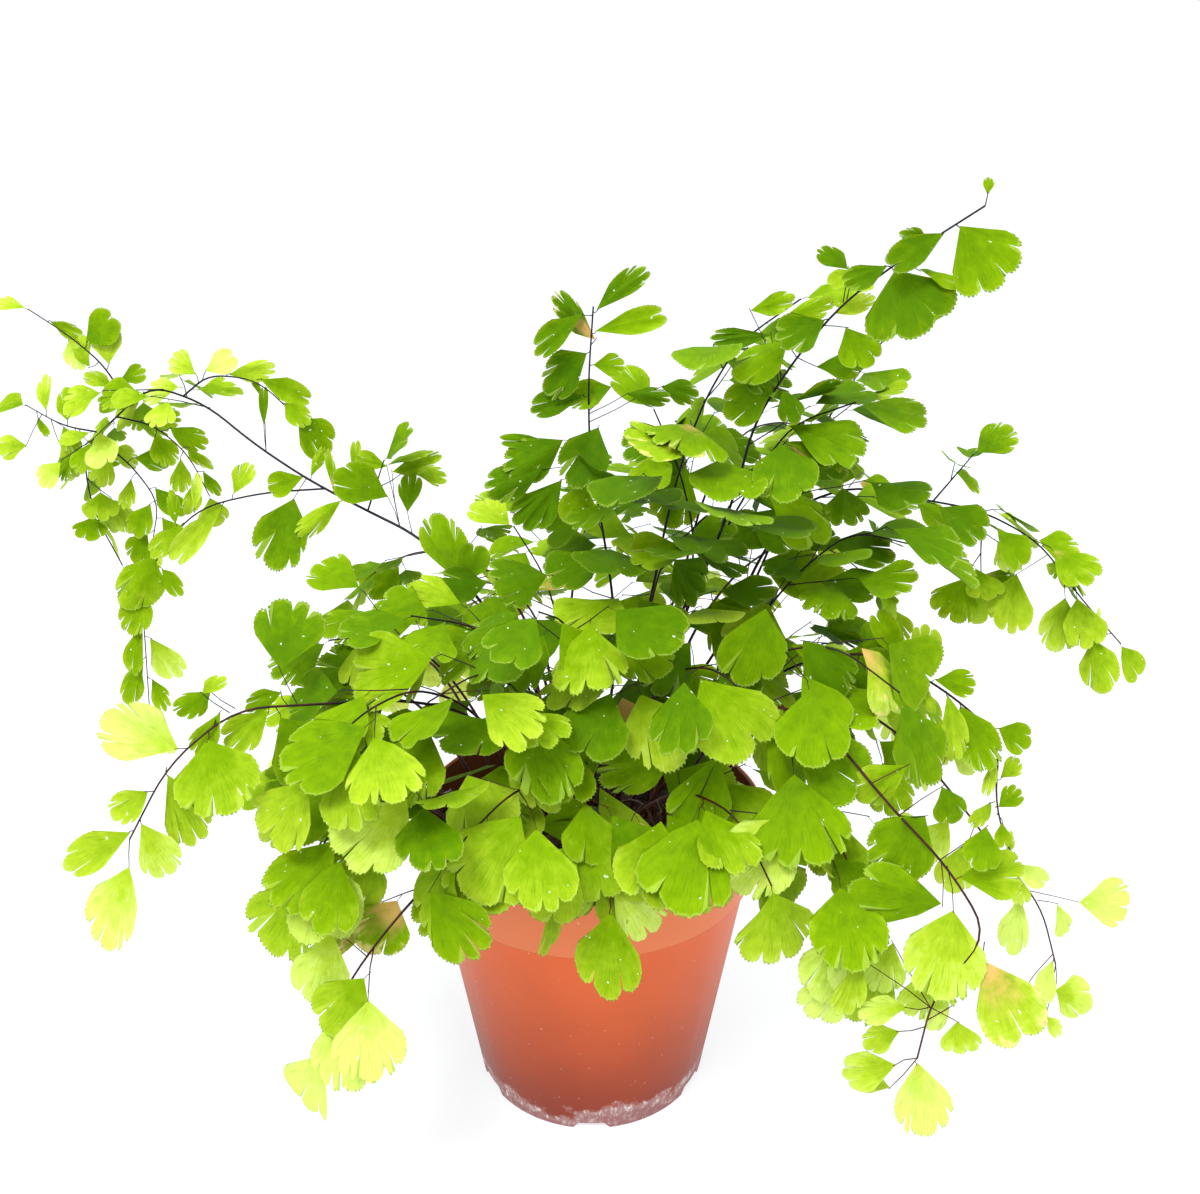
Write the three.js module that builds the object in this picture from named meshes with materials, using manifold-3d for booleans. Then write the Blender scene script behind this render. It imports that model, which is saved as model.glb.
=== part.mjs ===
import * as THREE from 'three';
import Module from 'manifold-3d';
import { ConvexGeometry } from 'three/addons/geometries/ConvexGeometry.js';
import { mergeVertices } from 'three/addons/utils/BufferGeometryUtils.js';

// A maidenhair fern in a round plastic nursery pot.
// Millimetres, +Z up, front towards -Y, origin on the ground under the middle of the pot.

const wasm = await Module();
wasm.setup();

const gap = 0.3;                  // left between two pieces that touch

const pot = {
  height: 106,
  rimRadius: 60,
  baseRadius: 41.5,
  bandHeight: 22,                 // the thicker band under the rim
  bandRadius: 56.5,               // outside radius at the lower edge of that band
  bandStep: 1.5,
  wall: 1.4,
  floorLift: 3,                   // the floor stands clear of the ground between the feet
  floor: 1.6,
  footRadius: 12,                 // round foot in the middle of the floor
  sides: 30,
  notches: 6,
  notchWidth: 11,
  notchHeight: 2.2,
  drains: 6,
  drainRadius: 3.5,
  drainCircle: 27,
};

const soil = { top: 93, lump: 1.1, sides: 15, rings: [0.9, 0.8] };

const rhizome = {
  arms: 7,
  firstAngle: 10,                 // degrees from +X
  length: 41,
  radius: 4.6,
  height: 94.5,                   // of the arms' middle line
  hub: 8,
  firstSocket: 7,
  socketStep: 6,
  socketDepth: 2.6,
};

const stubRadius = 1.1;

// Dead stems cut short: [arm, distance out along it, height, lean outwards].
const stubs = [[4, 40, 15, 0.75], [5, 22, 12, 0.3], [0, 22, 14, 0], [2, 40, 12, 0.6],
  [6, 40, 10, 0.8], [3, 28, 13, 0.3], [1, 28, 11, 0]];

const stipeRadius = 0.8;
const twigRadius = 0.45;
const finestEdge = 0.006;         // smaller slivers where stems and leaflets join are removed
const clearance = 0.35;           // between two leaflets or stems of different growth
const stemStep = 24;              // longest straight stretch of a main stem
const groundClearance = 12;       // no leaflet hangs lower than this

const blade = {
  thickness: 0.55,
  shoulder: 0.76,                 // where the kite is widest, as a share of its length
  facing: 0.6,                    // how much a blade turns its face the way its stem does
  droop: 0.35,                    // how much it hangs, where a frond has no droop of its own
  spacing: 0.5,                   // between neighbours along a stem, as a share of their length
};

// Shares of a stem's length between which it carries leaflets or twigs.
const twigLeaves = { from: 0.24, to: 0.86 };
const armLeavesFrom = 0.12;
const twigZone = 0.74;            // of the leafy stretch: after it come leaflets alone
const lastLeaf = 0.96;
const heldIds = 50;               // numbers of the leaflets that a table holds out start here
const endBite = 0.8;              // how deep a leaflet starts inside the end of its stalk

// As the fern is seen from the front and a little above.
const seen = {
  right: new THREE.Vector3(1, 0, 0),
  up: new THREE.Vector3(0, 0.36, 0.93),
  away: new THREE.Vector3(0, 0.93, -0.36),
};

// One entry for each frond. root is [arm, socket] on the rhizome, route the way of the stem
// from there, leafFrom the share of it that is bare, twigs the number of side twigs, reach the
// longest of them, leaf the length of a leaflet from stem to tip, and tilt how far the blades
// lean to the front. droop is how strongly they hang, leafTo the share after which leaflets no
// longer come by themselves, and tip: 0 leaves the end of the stem without one. held lists
// leaflets that are held out in a known way: [share of the stem, length of the stalk, its turn,
// turn of the leaflet, its length, its width]; turns are in degrees, clockwise from straight up
// as the fern is seen from the front. arms are long side branches: at is the share of the stem
// where one leaves, and they may have leafTo and held of their own.
const fronds = [
  { name: 'left_arch', root: [3, 1], leafFrom: 0.62, twigs: 9, reach: 24, leaf: 15, tilt: 0.8,
    route: [[-18, 8, 145], [-46, 22, 184], [-60, 30, 194], [-85, 40, 203], [-107, 50, 212],
      [-124, 57, 222], [-140, 64, 233], [-156, 70, 237], [-166, 74, 236], [-175, 77, 226],
      [-186, 80, 218], [-194, 82, 208], [-195, 84, 190], [-191, 84, 175], [-186, 84, 163]],
    arms: [
      { at: 0.76, twigs: 0, reach: 16, leaf: 14, leafTo: 0.1,
        route: [[-174, 76, 240], [-185, 78, 248], [-193, 80, 256], [-205, 82, 263]],
        held: [[0.12, 4, -60, -70, 12, 7], [0.3, 3, 20, -5, 14, 13], [0.38, 5, -120, -35, 14, 9],
          [0.52, 3, 30, 52, 15, 14], [0.66, 2, 150, 165, 12, 9], [0.84, 2, 100, 110, 12, 7],
          [0.2, 3, 80, 60, 10, 8]] },
      { at: 0.815, twigs: 0, reach: 16, leaf: 14, leafTo: 0.1,
        route: [[-198, 84, 218], [-208, 88, 223], [-216, 90, 226]],
        held: [[0.45, 3, 5, -5, 14, 8], [0.72, 3, 0, -5, 15, 6], [0.6, 5, 120, 145, 13, 9],
          [0.85, 3, 170, 150, 9, 4], [0.78, 16, 190, -100, 11, 10], [0.66, 12, 160, 150, 13, 10],
          [0.3, 6, 150, 110, 12, 5], [0.35, 13, 165, 95, 12, 5]] },
      { at: 0.785, twigs: 0, reach: 17, leaf: 14, leafTo: 0.1,
        route: [[-160, 72, 222], [-152, 70, 217], [-146, 68, 206], [-142, 66, 197]],
        held: [[0.2, 3, 60, 85, 13, 8], [0.4, 4, 70, 110, 15, 11], [0.35, 4, 190, 150, 13, 10],
          [0.6, 3, 80, 130, 12, 5], [0.62, 4, 200, 190, 13, 9], [0.8, 3, 90, 145, 11, 5],
          [0.85, 4, 220, 200, 12, 8]] },
      { at: 0.825, twigs: 0, reach: 16, leaf: 14, leafTo: 0.1,
        route: [[-176, 76, 209], [-167, 73, 200], [-163, 72, 189], [-168, 72, 177]],
        held: [[0.15, 4, 190, 210, 12, 10], [0.3, 4, 60, 100, 13, 8], [0.4, 4, 220, 200, 12, 9],
          [0.55, 3, 80, 130, 15, 10], [0.65, 4, -120, 205, 14, 10], [0.8, 3, 90, 150, 14, 10],
          [0.9, 4, -120, 200, 13, 12]] },
      { at: 0.672, twigs: 0, reach: 14, leaf: 16, leafTo: 0.1,
        route: [[-139, 60, 242], [-126, 58, 245], [-113, 56, 240], [-104, 54, 230]],
        held: [[0.2, 4, -20, -42, 12, 11], [0.25, 4, 20, 62, 12, 9], [0.45, 2, 60, 74, 16, 9],
          [0.66, 2, 80, 112, 18, 8], [0.85, 3, 120, 130, 12, 8]] },
      { at: 0.475, twigs: 0, reach: 18, leaf: 19, leafTo: 0.1,
        route: [[-114, 48, 204], [-131, 48, 202], [-146, 50, 194], [-158, 52, 181],
          [-167, 54, 165], [-170, 55, 146], [-170, 55, 127], [-172, 55, 114]],
        held: [[0.25, 3, 20, 35, 13, 9], [0.36, 2, 0, 2, 14, 4], [0.27, 3, 200, -136, 28, 9],
          [0.4, 2, -120, -130, 17, 10], [0.43, 3, -20, -10, 13, 5], [0.52, 3, -130, -146, 24, 17],
          [0.62, 3, 200, 200, 19, 12], [0.72, 3, 190, 190, 21, 8], [0.84, 3, 210, 206, 19, 10],
          [0.78, 3, 110, 142, 19, 12], [0.9, 3, 120, 155, 14, 9], [0.56, 4, 120, 150, 12, 8]] },
      { at: 0.42, twigs: 1, reach: 14, leaf: 15, route: [[-78, 34, 212], [-70, 32, 220]] },
    ],
    held: [[0.5, 9, 212, 193, 27, 20], [0.45, 2, -120, -125, 20, 8], [0.5, 2, -60, -108, 14, 9],
      [0.495, 2, 10, 20, 12, 4], [0.465, 2, 0, -10, 16, 4], [0.44, 10, 10, 0, 13, 4],
      [0.38, 12, -20, -72, 20, 16], [0.38, 20, -8, 68, 18, 8], [0.38, 22, -12, -75, 12, 7],
      [0.365, 8, -12, 10, 14, 9], [0.28, 6, -60, -25, 24, 18], [0.27, 6, -40, 20, 14, 11],
      [0.555, 20, -4, -25, 10, 3], [0.555, 10, 0, 3, 14, 3.5]] },
  { name: 'lower_left', root: [4, 2], leafFrom: 0.36, leafTo: 0.6, twigs: 3, reach: 26, leaf: 24,
    tilt: 0.9, tip: 0,
    route: [[-29, -20, 141], [-43, -32, 160], [-59, -42, 167], [-82, -56, 172], [-98, -66, 176],
      [-110, -74, 170], [-119, -80, 156], [-125, -83, 145]],
    held: [[0.655, 12.4, -26, -3, 20.6, 24], [0.67, 5, -25, -117, 12, 7],
      [0.69, 4.2, 155, 158, 24, 22], [0.7, 2, 185, -127, 15.5, 12], [0.75, 9, -55, -117, 12, 9],
      [0.76, 10, -50, 59, 8, 5], [0.79, 5, 26, -142, 15, 8.5], [0.8, 3.6, 180, 158, 22, 23],
      [0.84, 3.4, -95, -76, 23.5, 20], [0.88, 2.8, 170, 168, 22.5, 15.5],
      [0.92, 2.5, -90, -128, 12.5, 9], [0.965, 2.1, 170, 162, 17, 13.5],
      [0.985, 1.8, -120, -121, 21.5, 11.5], [1, 8.2, 181, -168, 23, 21]] },
  { name: 'front_left', root: [4, 4], leafFrom: 0.34, twigs: 3, reach: 20, leaf: 22, tilt: 0.9,
    route: [[-27, -40, 130], [-40, -66, 127], [-54, -80, 118], [-64, -88, 107], [-73, -92, 95],
      [-76, -94, 82]],
    held: [[0.77, 12.8, -54, 190, 22, 18]] },
  { name: 'tall_right', root: [0, 0], leafFrom: 0.42, leafTo: 0.7, twigs: 5, reach: 38, leaf: 24,
    tilt: 0.6, tip: 0,
    route: [[20, 0, 149], [32, -5, 187], [43, -10, 213], [46, -14, 238], [53, -18, 253],
      [58, -22, 264], [69, -30, 281], [80, -36, 291], [93, -44, 303], [99, -48, 307]],
    held: [[1, 3.5, 12, 15, 5, 3.5], [0.966, 1.8, 120, 148, 19, 23],
      [0.955, 1.8, -140, -120, 16, 8], [0.935, 2, -60, -80, 7, 4], [0.886, 2, 130, 148, 19, 28],
      [0.9, 6, 130, 100, 16, 8], [0.886, 2, -80, -105, 12, 8], [0.82, 10, 8, -60, 10, 7],
      [0.825, 9, 12, -123, 8, 5], [0.8, 2, 60, 68, 12, 5], [0.795, 2, -110, -110, 15, 13],
      [0.785, 7, 95, 140, 13, 13], [0.695, 15, -9, -87, 18, 8], [0.7, 17, -4, 62, 18, 8],
      [0.705, 22, -26, 70, 14, 7], [0.69, 2, -90, -125, 16, 14], [0.735, 6, -30, -124, 19, 11],
      [0.69, 3, 110, 160, 10, 8], [0.735, 7, 115, 85, 14, 8]] },
  { name: 'upright', root: [2, 0], leafFrom: 0.44, leafTo: 0.72, twigs: 5, reach: 30, leaf: 21,
    tilt: 0.8, tip: 0,
    route: [[8, 8, 149], [7, 10, 181], [4, 10, 202], [0, 8, 227], [-1, 6, 246], [1, 4, 268],
      [1, 4, 275]],
    held: [[0.99, 2, 60, 51, 21, 8.5], [0.955, 2, 60, 75, 23, 8], [0.935, 3, 40, -41, 19, 9],
      [0.985, 4, -80, -132, 19, 9], [0.925, 2, -120, -138, 18, 14], [0.9, 2, 80, 98, 10, 8],
      [0.82, 11, 42, -110, 15, 9], [0.845, 2, -60, -104, 18, 8], [0.815, 14, 62, 95, 14, 6],
      [0.8, 26, 64, 100, 13, 8], [0.715, 16, -58, -86, 17, 5], [0.71, 9, -60, 95, 13, 6],
      [0.7, 4, -120, 195, 15, 12], [0.77, 9, -93, 240, 22, 14], [0.73, 16.6, -101, 250, 20, 12],
      [0.75, 8.4, 23, 200, 22, 16], [0.7, 11, -97, 230, 22, 16]] },
  { name: 'right_trail', root: [0, 4], leafFrom: 0.42, twigs: 9, reach: 26, leaf: 18, tilt: 0.9,
    route: [[51, 20, 174], [72, 34, 205], [94, 42, 208], [118, 44, 202], [148, 42, 196],
      [164, 38, 182], [176, 34, 166], [189, 30, 153]],
    arms: [
      { at: 0.66, twigs: 1, reach: 12, leaf: 14, route: [[124, 44, 210], [133, 44, 219]] },
      { at: 0.73, twigs: 2, reach: 12, leaf: 16, route: [[139, 44, 188], [141, 44, 172]] },
    ],
    held: [[0.84, 14, -122, 185, 22, 18], [0.88, 8, 180, 190, 20, 16], [0.98, 8, -108, 170, 20, 14]] },
  { name: 'lower_right', root: [6, 3], leafFrom: 0.36, leafTo: 0.46, twigs: 2, reach: 30, leaf: 24,
    tilt: 0.9, tip: 0,
    route: [[39, -40, 156], [55, -50, 171], [68, -62, 166], [79, -74, 155], [95, -86, 141],
      [105, -92, 132], [108, -96, 124], [101, -98, 113], [91, -100, 103], [91, -100, 85]],
    held: [[0.57, 12, 63, -130, 17, 12], [0.62, 8, 90, 215, 21, 20], [0.69, 13, 178, -84, 25, 17],
      [0.7, 13, 172, 190, 25, 22], [0.72, 2, 60, 84, 18, 13], [0.69, 16, 48, 187, 12, 11],
      [0.62, 15, 56, 152, 12, 10], [0.81, 6, 180, 157, 24, 19], [0.92, 24, -55, 205, 17, 10],
      [0.92, 20, -29, 200, 16, 13], [0.92, 7, -90, -100, 14, 9], [0.95, 8, -100, -120, 11, 10],
      [0.94, 8, 60, 215, 9, 6], [0.92, 9, 118, 178, 9, 12], [1, 7, -108, -100, 15, 11],
      [1, 2, 180, 172, 21, 16], [1, 20, 198, -80, 13, 7], [0.89, 7.8, -8, 170, 22, 20]] },
  { name: 'far_right', root: [6, 5], leafFrom: 0.42, leafTo: 0.56, twigs: 3, reach: 24, leaf: 21,
    tilt: 0.8, tip: 0,
    route: [[62, -10, 151], [93, -20, 149], [114, -30, 129], [131, -36, 108], [141, -40, 98],
      [148, -42, 86], [151, -44, 72]],
    held: [[0.81, 3, 60, 125, 12, 7], [0.8, 4, 10, 5, 7, 3.5], [0.835, 6, 180, 182, 21, 10],
      [0.88, 7, 100, 165, 13, 7], [0.86, 17, 103, 100, 17, 19], [0.985, 2, 190, 195, 16, 8],
      [1, 9, 180, 118, 15, 14], [1, 18, 190, 150, 8, 6], [0.98, 26, -140, 200, 10, 7],
      [0.66, 9, 190, 200, 16, 14], [0.72, 9, -150, 190, 16, 13], [0.62, 9, 30, 110, 14, 10]] },
  { name: 'right_mid', root: [6, 1], leafFrom: 0.36, leafTo: 0.56, twigs: 4, reach: 26, leaf: 22,
    tilt: 0.7, tip: 0,
    route: [[51, -14, 156], [80, -26, 176], [95, -32, 173], [112, -36, 164], [123, -38, 157],
      [125, -40, 145], [124, -41, 132], [131, -42, 120], [134, -43, 108]],
    held: [[0.645, 2, 60, 103, 14, 10], [0.63, 3, 0, 2, 14, 10],
      [0.67, 2, 180, 180, 20, 9.5], [0.695, 2, 170, 155, 22, 13], [0.76, 3, 80, 125, 12, 11],
      [0.81, 2, -110, 197, 12, 5], [0.845, 2, 60, 62, 9, 8], [0.89, 2, 80, 55, 9, 8],
      [0.88, 2, -100, -140, 10, 7], [0.9, 4, 150, 178, 8, 5], [0.62, 3, 190, 148, 12, 5],
      [0.6, 2, -20, -28, 18, 8], [0.53, 10, 190, 98, 19, 9], [0.5, 3, 60, 97, 20, 10],
      [1, 3, 160, 170, 10, 7]] },
  { name: 'right_back', root: [1, 3], leafFrom: 0.45, twigs: 6, reach: 38, leaf: 19, tilt: 0.45,
    route: [[34, 18, 140], [50, 14, 171], [63, 16, 204], [73, 22, 230], [85, 24, 249],
      [93, 22, 262]] },
  { name: 'top_middle', root: [1, 0], leafFrom: 0.5, twigs: 6, reach: 40, leaf: 22, tilt: 0.5,
    route: [[12, 14, 140], [20, 12, 177], [26, 10, 213], [34, 6, 243], [45, 2, 265],
      [62, -2, 278]] },
  { name: 'centre_back', root: [1, 2], leafFrom: 0.4, twigs: 6, reach: 38, leaf: 21, tilt: 0.4,
    route: [[26, 20, 145], [34, 20, 174], [35, 26, 197], [30, 30, 217], [21, 34, 237]],
    held: [[0.91, 8.5, -51, 170, 24, 18], [0.89, 7.8, 133, 200, 22, 18]] },
  { name: 'middle_right', root: [0, 1], leafFrom: 0.5, twigs: 6, reach: 36, leaf: 22, tilt: 0.5,
    route: [[24, 2, 150], [34, 4, 184], [50, 0, 220], [62, -6, 243], [78, -14, 250]],
    held: [[0.49, 8, 90, 160, 24, 22]] },
  { name: 'right_shoulder', root: [0, 3], leafFrom: 0.42, twigs: 6, reach: 36, leaf: 22, tilt: 0.6,
    route: [[40, 2, 145], [54, 0, 174], [71, 4, 194], [86, 4, 205], [104, 2, 200]],
    held: [[0.66, 8, -130, 200, 24, 22]] },
  { name: 'right_blades', root: [6, 2], leafFrom: 0.42, twigs: 5, reach: 34, leaf: 25,
    droop: 0.8, tilt: 0.8,
    route: [[28, -22, 140], [40, -30, 164], [58, -42, 186], [74, -50, 187], [88, -56, 176]],
    held: [[0.82, 8, -84, 150, 22, 20], [0.56, 8, 7, 190, 24, 22], [0.7, 14, -14, 205, 24, 22]] },
  { name: 'front_hang', root: [5, 3], leafFrom: 0.32, twigs: 2, reach: 16, leaf: 26,
    droop: 0.8, tilt: 1.1, tip: 0,
    route: [[0, -42, 130], [4, -62, 140], [5, -74, 134], [6, -82, 122]],
    held: [[0.4, 10, 17, 150, 24, 20], [0.36, 18, -98, 95, 20, 18], [0.85, 2, 60, 117, 17, 16],
      [0.88, 2, -100, -130, 19, 16], [1, 2, 180, 175, 25, 21]] },
  { name: 'left_mid', root: [3, 3], leafFrom: 0.4, twigs: 4, reach: 34, leaf: 21, tilt: 0.6,
    route: [[-40, -2, 145], [-54, -12, 170], [-68, -20, 182], [-80, -26, 179]] },
  { name: 'left_low', root: [4, 3], leafFrom: 0.42, twigs: 5, reach: 28, leaf: 24, tilt: 0.9,
    route: [[-42, -42, 132], [-49, -56, 149], [-62, -66, 152], [-73, -72, 141], [-81, -76, 127]] },
  { name: 'left_inner', root: [4, 1], leafFrom: 0.42, twigs: 5, reach: 34, leaf: 24, tilt: 0.9,
    route: [[-28, -24, 142], [-40, -40, 166], [-54, -58, 178], [-66, -72, 174], [-76, -78, 162]] },
  { name: 'back_left_top', root: [2, 1], leafFrom: 0.42, twigs: 4, reach: 36, leaf: 19, tilt: 0.4,
    route: [[-9, 18, 152], [-14, 26, 172], [-19, 32, 188], [-27, 34, 196]] },
  { name: 'centre_left', root: [3, 0], leafFrom: 0.32, twigs: 6, reach: 32, leaf: 22, tilt: 0.6,
    route: [[-19, -4, 150], [-31, -14, 174], [-42, -22, 186], [-54, -28, 188]] },
  { name: 'far_back', root: [2, 4], leafFrom: 0.45, twigs: 4, reach: 30, leaf: 16, tilt: -0.2,
    route: [[-18, 60, 140], [-29, 85, 150], [-42, 105, 148], [-59, 120, 140]] },
  { name: 'front_left_blades', root: [5, 1], leafFrom: 0.32, twigs: 5, reach: 30, leaf: 26,
    droop: 0.8, tilt: 1, route: [[-6, -40, 135], [-14, -60, 150], [-25, -74, 152], [-36, -82, 142]],
    held: [[0.75, 14, -8, 147, 24, 16], [0.78, 15, -73, 165, 22, 22], [1, 15, 212, 145, 23, 21]] },
  { name: 'front_right_low', root: [5, 4], leafFrom: 0.32, twigs: 5, reach: 30, leaf: 26,
    droop: 0.8, tilt: 1, route: [[19, -50, 138], [34, -68, 150], [44, -80, 146], [50, -86, 132]],
    held: [[0.66, 13.5, 24, -150, 24, 21], [0.58, 12, -5, -113, 26, 16],
      [0.48, 9.5, 150, 150, 20, 17], [0.85, 14, 75, -140, 26, 22]] },
  { name: 'front_top', root: [5, 0], leafFrom: 0.3, twigs: 7, reach: 34, leaf: 24,
    droop: 0.8, tilt: 0.8,
    route: [[0, -20, 149], [-5, -32, 180], [-9, -44, 197], [-14, -54, 200]] },
  { name: 'front_right_mid', root: [6, 0], leafFrom: 0.32, twigs: 6, reach: 34, leaf: 26,
    droop: 0.8, tilt: 0.8, route: [[16, -22, 150], [27, -38, 177], [39, -50, 180], [50, -58, 170]],
    held: [[0.76, 8.4, -9, 220, 20, 18]] },
  { name: 'right_low', root: [6, 4], leafFrom: 0.42, twigs: 5, reach: 28, leaf: 24,
    droop: 0.8, tilt: 0.9,
    route: [[46, -42, 132], [61, -60, 142], [73, -74, 136], [77, -80, 118]],
    held: [[1, 12.7, 141, 200, 24, 20], [1, 18, 182, 220, 22, 18], [0.99, 8, -132, 190, 24, 20]] },
  { name: 'front_mid_left', root: [4, 0], leafFrom: 0.32, twigs: 6, reach: 34, leaf: 26,
    droop: 0.8, tilt: 0.8,
    route: [[-14, -24, 147], [-24, -40, 172], [-34, -54, 182], [-45, -62, 176]] },
  { name: 'centre_mid', root: [1, 1], leafFrom: 0.3, twigs: 7, reach: 34, leaf: 23, tilt: 0.4,
    route: [[18, 8, 159], [20, 0, 185], [26, -6, 205], [36, -10, 214]] },
  { name: 'front_small', root: [5, 5], leafFrom: 0.5, twigs: 3, reach: 18, leaf: 20,
    droop: 0.8, tilt: 1.1,
    route: [[-8, -56, 126], [-12, -70, 128], [-16, -78, 118]],
    held: [[0.7, 6, -80, -125, 17, 14]] },
  { name: 'front_right_small', root: [5, 2], leafFrom: 0.5, twigs: 3, reach: 18, leaf: 23,
    droop: 0.8, tilt: 1, route: [[12, -42, 135], [19, -60, 138], [22, -72, 126]] },
  { name: 'left_side', root: [4, 5], leafFrom: 0.42, twigs: 2, reach: 26, leaf: 21, tilt: 0.7,
    route: [[-54, -28, 124], [-68, -36, 132], [-80, -42, 126], [-88, -46, 112]] },
  { name: 'back_right_low', root: [1, 5], leafFrom: 0.4, twigs: 3, reach: 34, leaf: 19,
    tilt: -0.7, route: [[28, 60, 146], [38, 90, 160], [48, 118, 148], [54, 138, 124]] },
  { name: 'back_left_low', root: [2, 5], leafFrom: 0.4, twigs: 3, reach: 34, leaf: 19,
    tilt: -0.7, route: [[-24, 58, 136], [-42, 86, 140], [-56, 110, 122], [-62, 124, 98]] },
  { name: 'back_middle', root: [2, 3], leafFrom: 0.42, twigs: 4, reach: 38, leaf: 19,
    tilt: -0.3, route: [[-8, 48, 160], [-2, 80, 182], [6, 108, 180], [14, 132, 162]] },
  { name: 'back_right', root: [1, 4], leafFrom: 0.45, twigs: 4, reach: 32, leaf: 19, tilt: -0.3,
    route: [[40, 48, 155], [72, 74, 176], [103, 92, 163], [122, 103, 139]] },
  { name: 'back_left', root: [2, 2], leafFrom: 0.45, twigs: 4, reach: 30, leaf: 18, tilt: -0.2,
    route: [[-24, 42, 158], [-50, 72, 172], [-78, 92, 164], [-102, 104, 142]] },
  { name: 'right_side', root: [0, 5], leafFrom: 0.42, twigs: 3, reach: 30, leaf: 19, tilt: 0.1,
    route: [[60, 25, 136], [92, 42, 144], [118, 54, 126], [132, 60, 102]] },
  { name: 'left_side_back', root: [3, 5], leafFrom: 0.42, twigs: 3, reach: 30, leaf: 19,
    tilt: 0.1, route: [[-60, 22, 132], [-84, 34, 138], [-102, 44, 122], [-110, 48, 102]] },
  { name: 'back_shoulder', root: [0, 2], leafFrom: 0.5, twigs: 4, reach: 36, leaf: 20, tilt: 0.2,
    route: [[30, 26, 170], [44, 52, 212], [66, 76, 224], [90, 92, 212]] },
  { name: 'left_shoulder', root: [3, 2], leafFrom: 0.5, twigs: 3, reach: 34, leaf: 19, tilt: 0.2,
    route: [[-28, 28, 150], [-46, 58, 160], [-66, 84, 156], [-86, 104, 134]] },
  { name: 'left_back_low', root: [3, 4], leafFrom: 0.42, twigs: 3, reach: 28, leaf: 19,
    tilt: -0.2, route: [[-48, 34, 128], [-68, 62, 136], [-86, 84, 118], [-94, 94, 94]] },
];

const up = new THREE.Vector3(0, 0, 1);
const vec = ([x, y, z]) => new THREE.Vector3(x, y, z);
const mix = (a, b, share) => a.clone().lerp(b, share);
const plus = (a, ...terms) => terms.reduce((sum, [v, k]) => sum.addScaledVector(v, k), a.clone());

// The same number between 0 and 1 for the same keys.
function chance(...keys) {
  const phase = keys.reduce((sum, key, i) => sum + key * (12.9898 + 7.31 * i), 1);
  const wave = Math.sin(phase) * 43758.5453;
  return wave - Math.floor(wave);
}
const between = (low, high, ...keys) => low + (high - low) * chance(...keys);

// ---- solids ----

function solidOf(geometry) {
  const bare = geometry.clone();
  for (const name of Object.keys(bare.attributes)) {
    if (name !== 'position') bare.deleteAttribute(name);
  }
  const merged = mergeVertices(bare, 1e-4);
  const mesh = new wasm.Mesh({
    numProp: 3,
    vertProperties: new Float32Array(merged.attributes.position.array),
    triVerts: new Uint32Array(merged.index.array),
  });
  mesh.merge();
  return new wasm.Manifold(mesh);
}

function geometryOf(solid) {
  const mesh = solid.getMesh();
  const geometry = new THREE.BufferGeometry();
  geometry.setAttribute('position', new THREE.BufferAttribute(mesh.vertProperties, 3));
  geometry.setIndex(new THREE.BufferAttribute(mesh.triVerts, 1));
  return geometry;
}

// A route through given stations, with one ring of an extruded tube at each of them.
class StemRoute extends THREE.Curve {
  constructor(stations) {
    super();
    this.stations = stations;
  }
  getUtoTmapping(u) {
    return u;
  }
  getPoint(t) {
    return pointAlong(this.stations, t);
  }
}

function polygonShape(radius, sides) {
  const corners = [];
  for (let i = 0; i < sides; i += 1) {
    const angle = (i / sides) * 2 * Math.PI;
    corners.push(new THREE.Vector2(radius * Math.cos(angle), radius * Math.sin(angle)));
  }
  return new THREE.Shape(corners);
}

function tube(stations, radius, sides) {
  return new THREE.ExtrudeGeometry(polygonShape(radius, sides), {
    steps: stations.length - 1,
    bevelEnabled: false,
    extrudePath: new StemRoute(stations),
  });
}

// ---- routes ----

function pointAlong(stations, share) {
  const place = Math.min(Math.max(share, 0), 1) * (stations.length - 1);
  const before = Math.min(Math.floor(place), stations.length - 2);
  return mix(stations[before], stations[before + 1], place - before);
}

function directionAlong(stations, share) {
  const place = Math.min(Math.max(share, 0), 0.999) * (stations.length - 1);
  const before = Math.floor(place);
  return stations[before + 1].clone().sub(stations[before]).normalize();
}

function lengthOf(stations) {
  let sum = 0;
  for (let i = 1; i < stations.length; i += 1) sum += stations[i].distanceTo(stations[i - 1]);
  return sum;
}

// A smooth curve through the points, cut into equal stretches.
function smoothStations(points, step) {
  const fine = [];
  const finePerPoint = 16;
  const at = (i) => points[Math.min(Math.max(i, 0), points.length - 1)];
  for (let i = 0; i < points.length - 1; i += 1) {
    const [a, b, c, d] = [at(i - 1), at(i), at(i + 1), at(i + 2)];
    for (let k = 0; k < finePerPoint; k += 1) {
      const t = k / finePerPoint;
      fine.push(plus(b, [c.clone().sub(a), 0.5 * t],
        [plus(a.clone().multiplyScalar(2), [b, -5], [c, 4], [d, -1]), 0.5 * t * t],
        [plus(d, [a, -1], [b, 3], [c, -3]), 0.5 * t * t * t]));
    }
  }
  fine.push(points[points.length - 1].clone());
  const total = lengthOf(fine);
  const count = Math.ceil(total / step);
  const stations = [fine[0]];
  let walked = 0;
  for (let i = 1; i < fine.length; i += 1) {
    const stretch = fine[i].distanceTo(fine[i - 1]);
    while (stations.length < count && walked + stretch >= (stations.length * total) / count) {
      const left = (stations.length * total) / count - walked;
      stations.push(mix(fine[i - 1], fine[i], left / stretch));
    }
    walked += stretch;
  }
  stations.push(fine[fine.length - 1]);
  return stations;
}

// ---- room: what is already there, as convex cases that keep clear of each other ----

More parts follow.
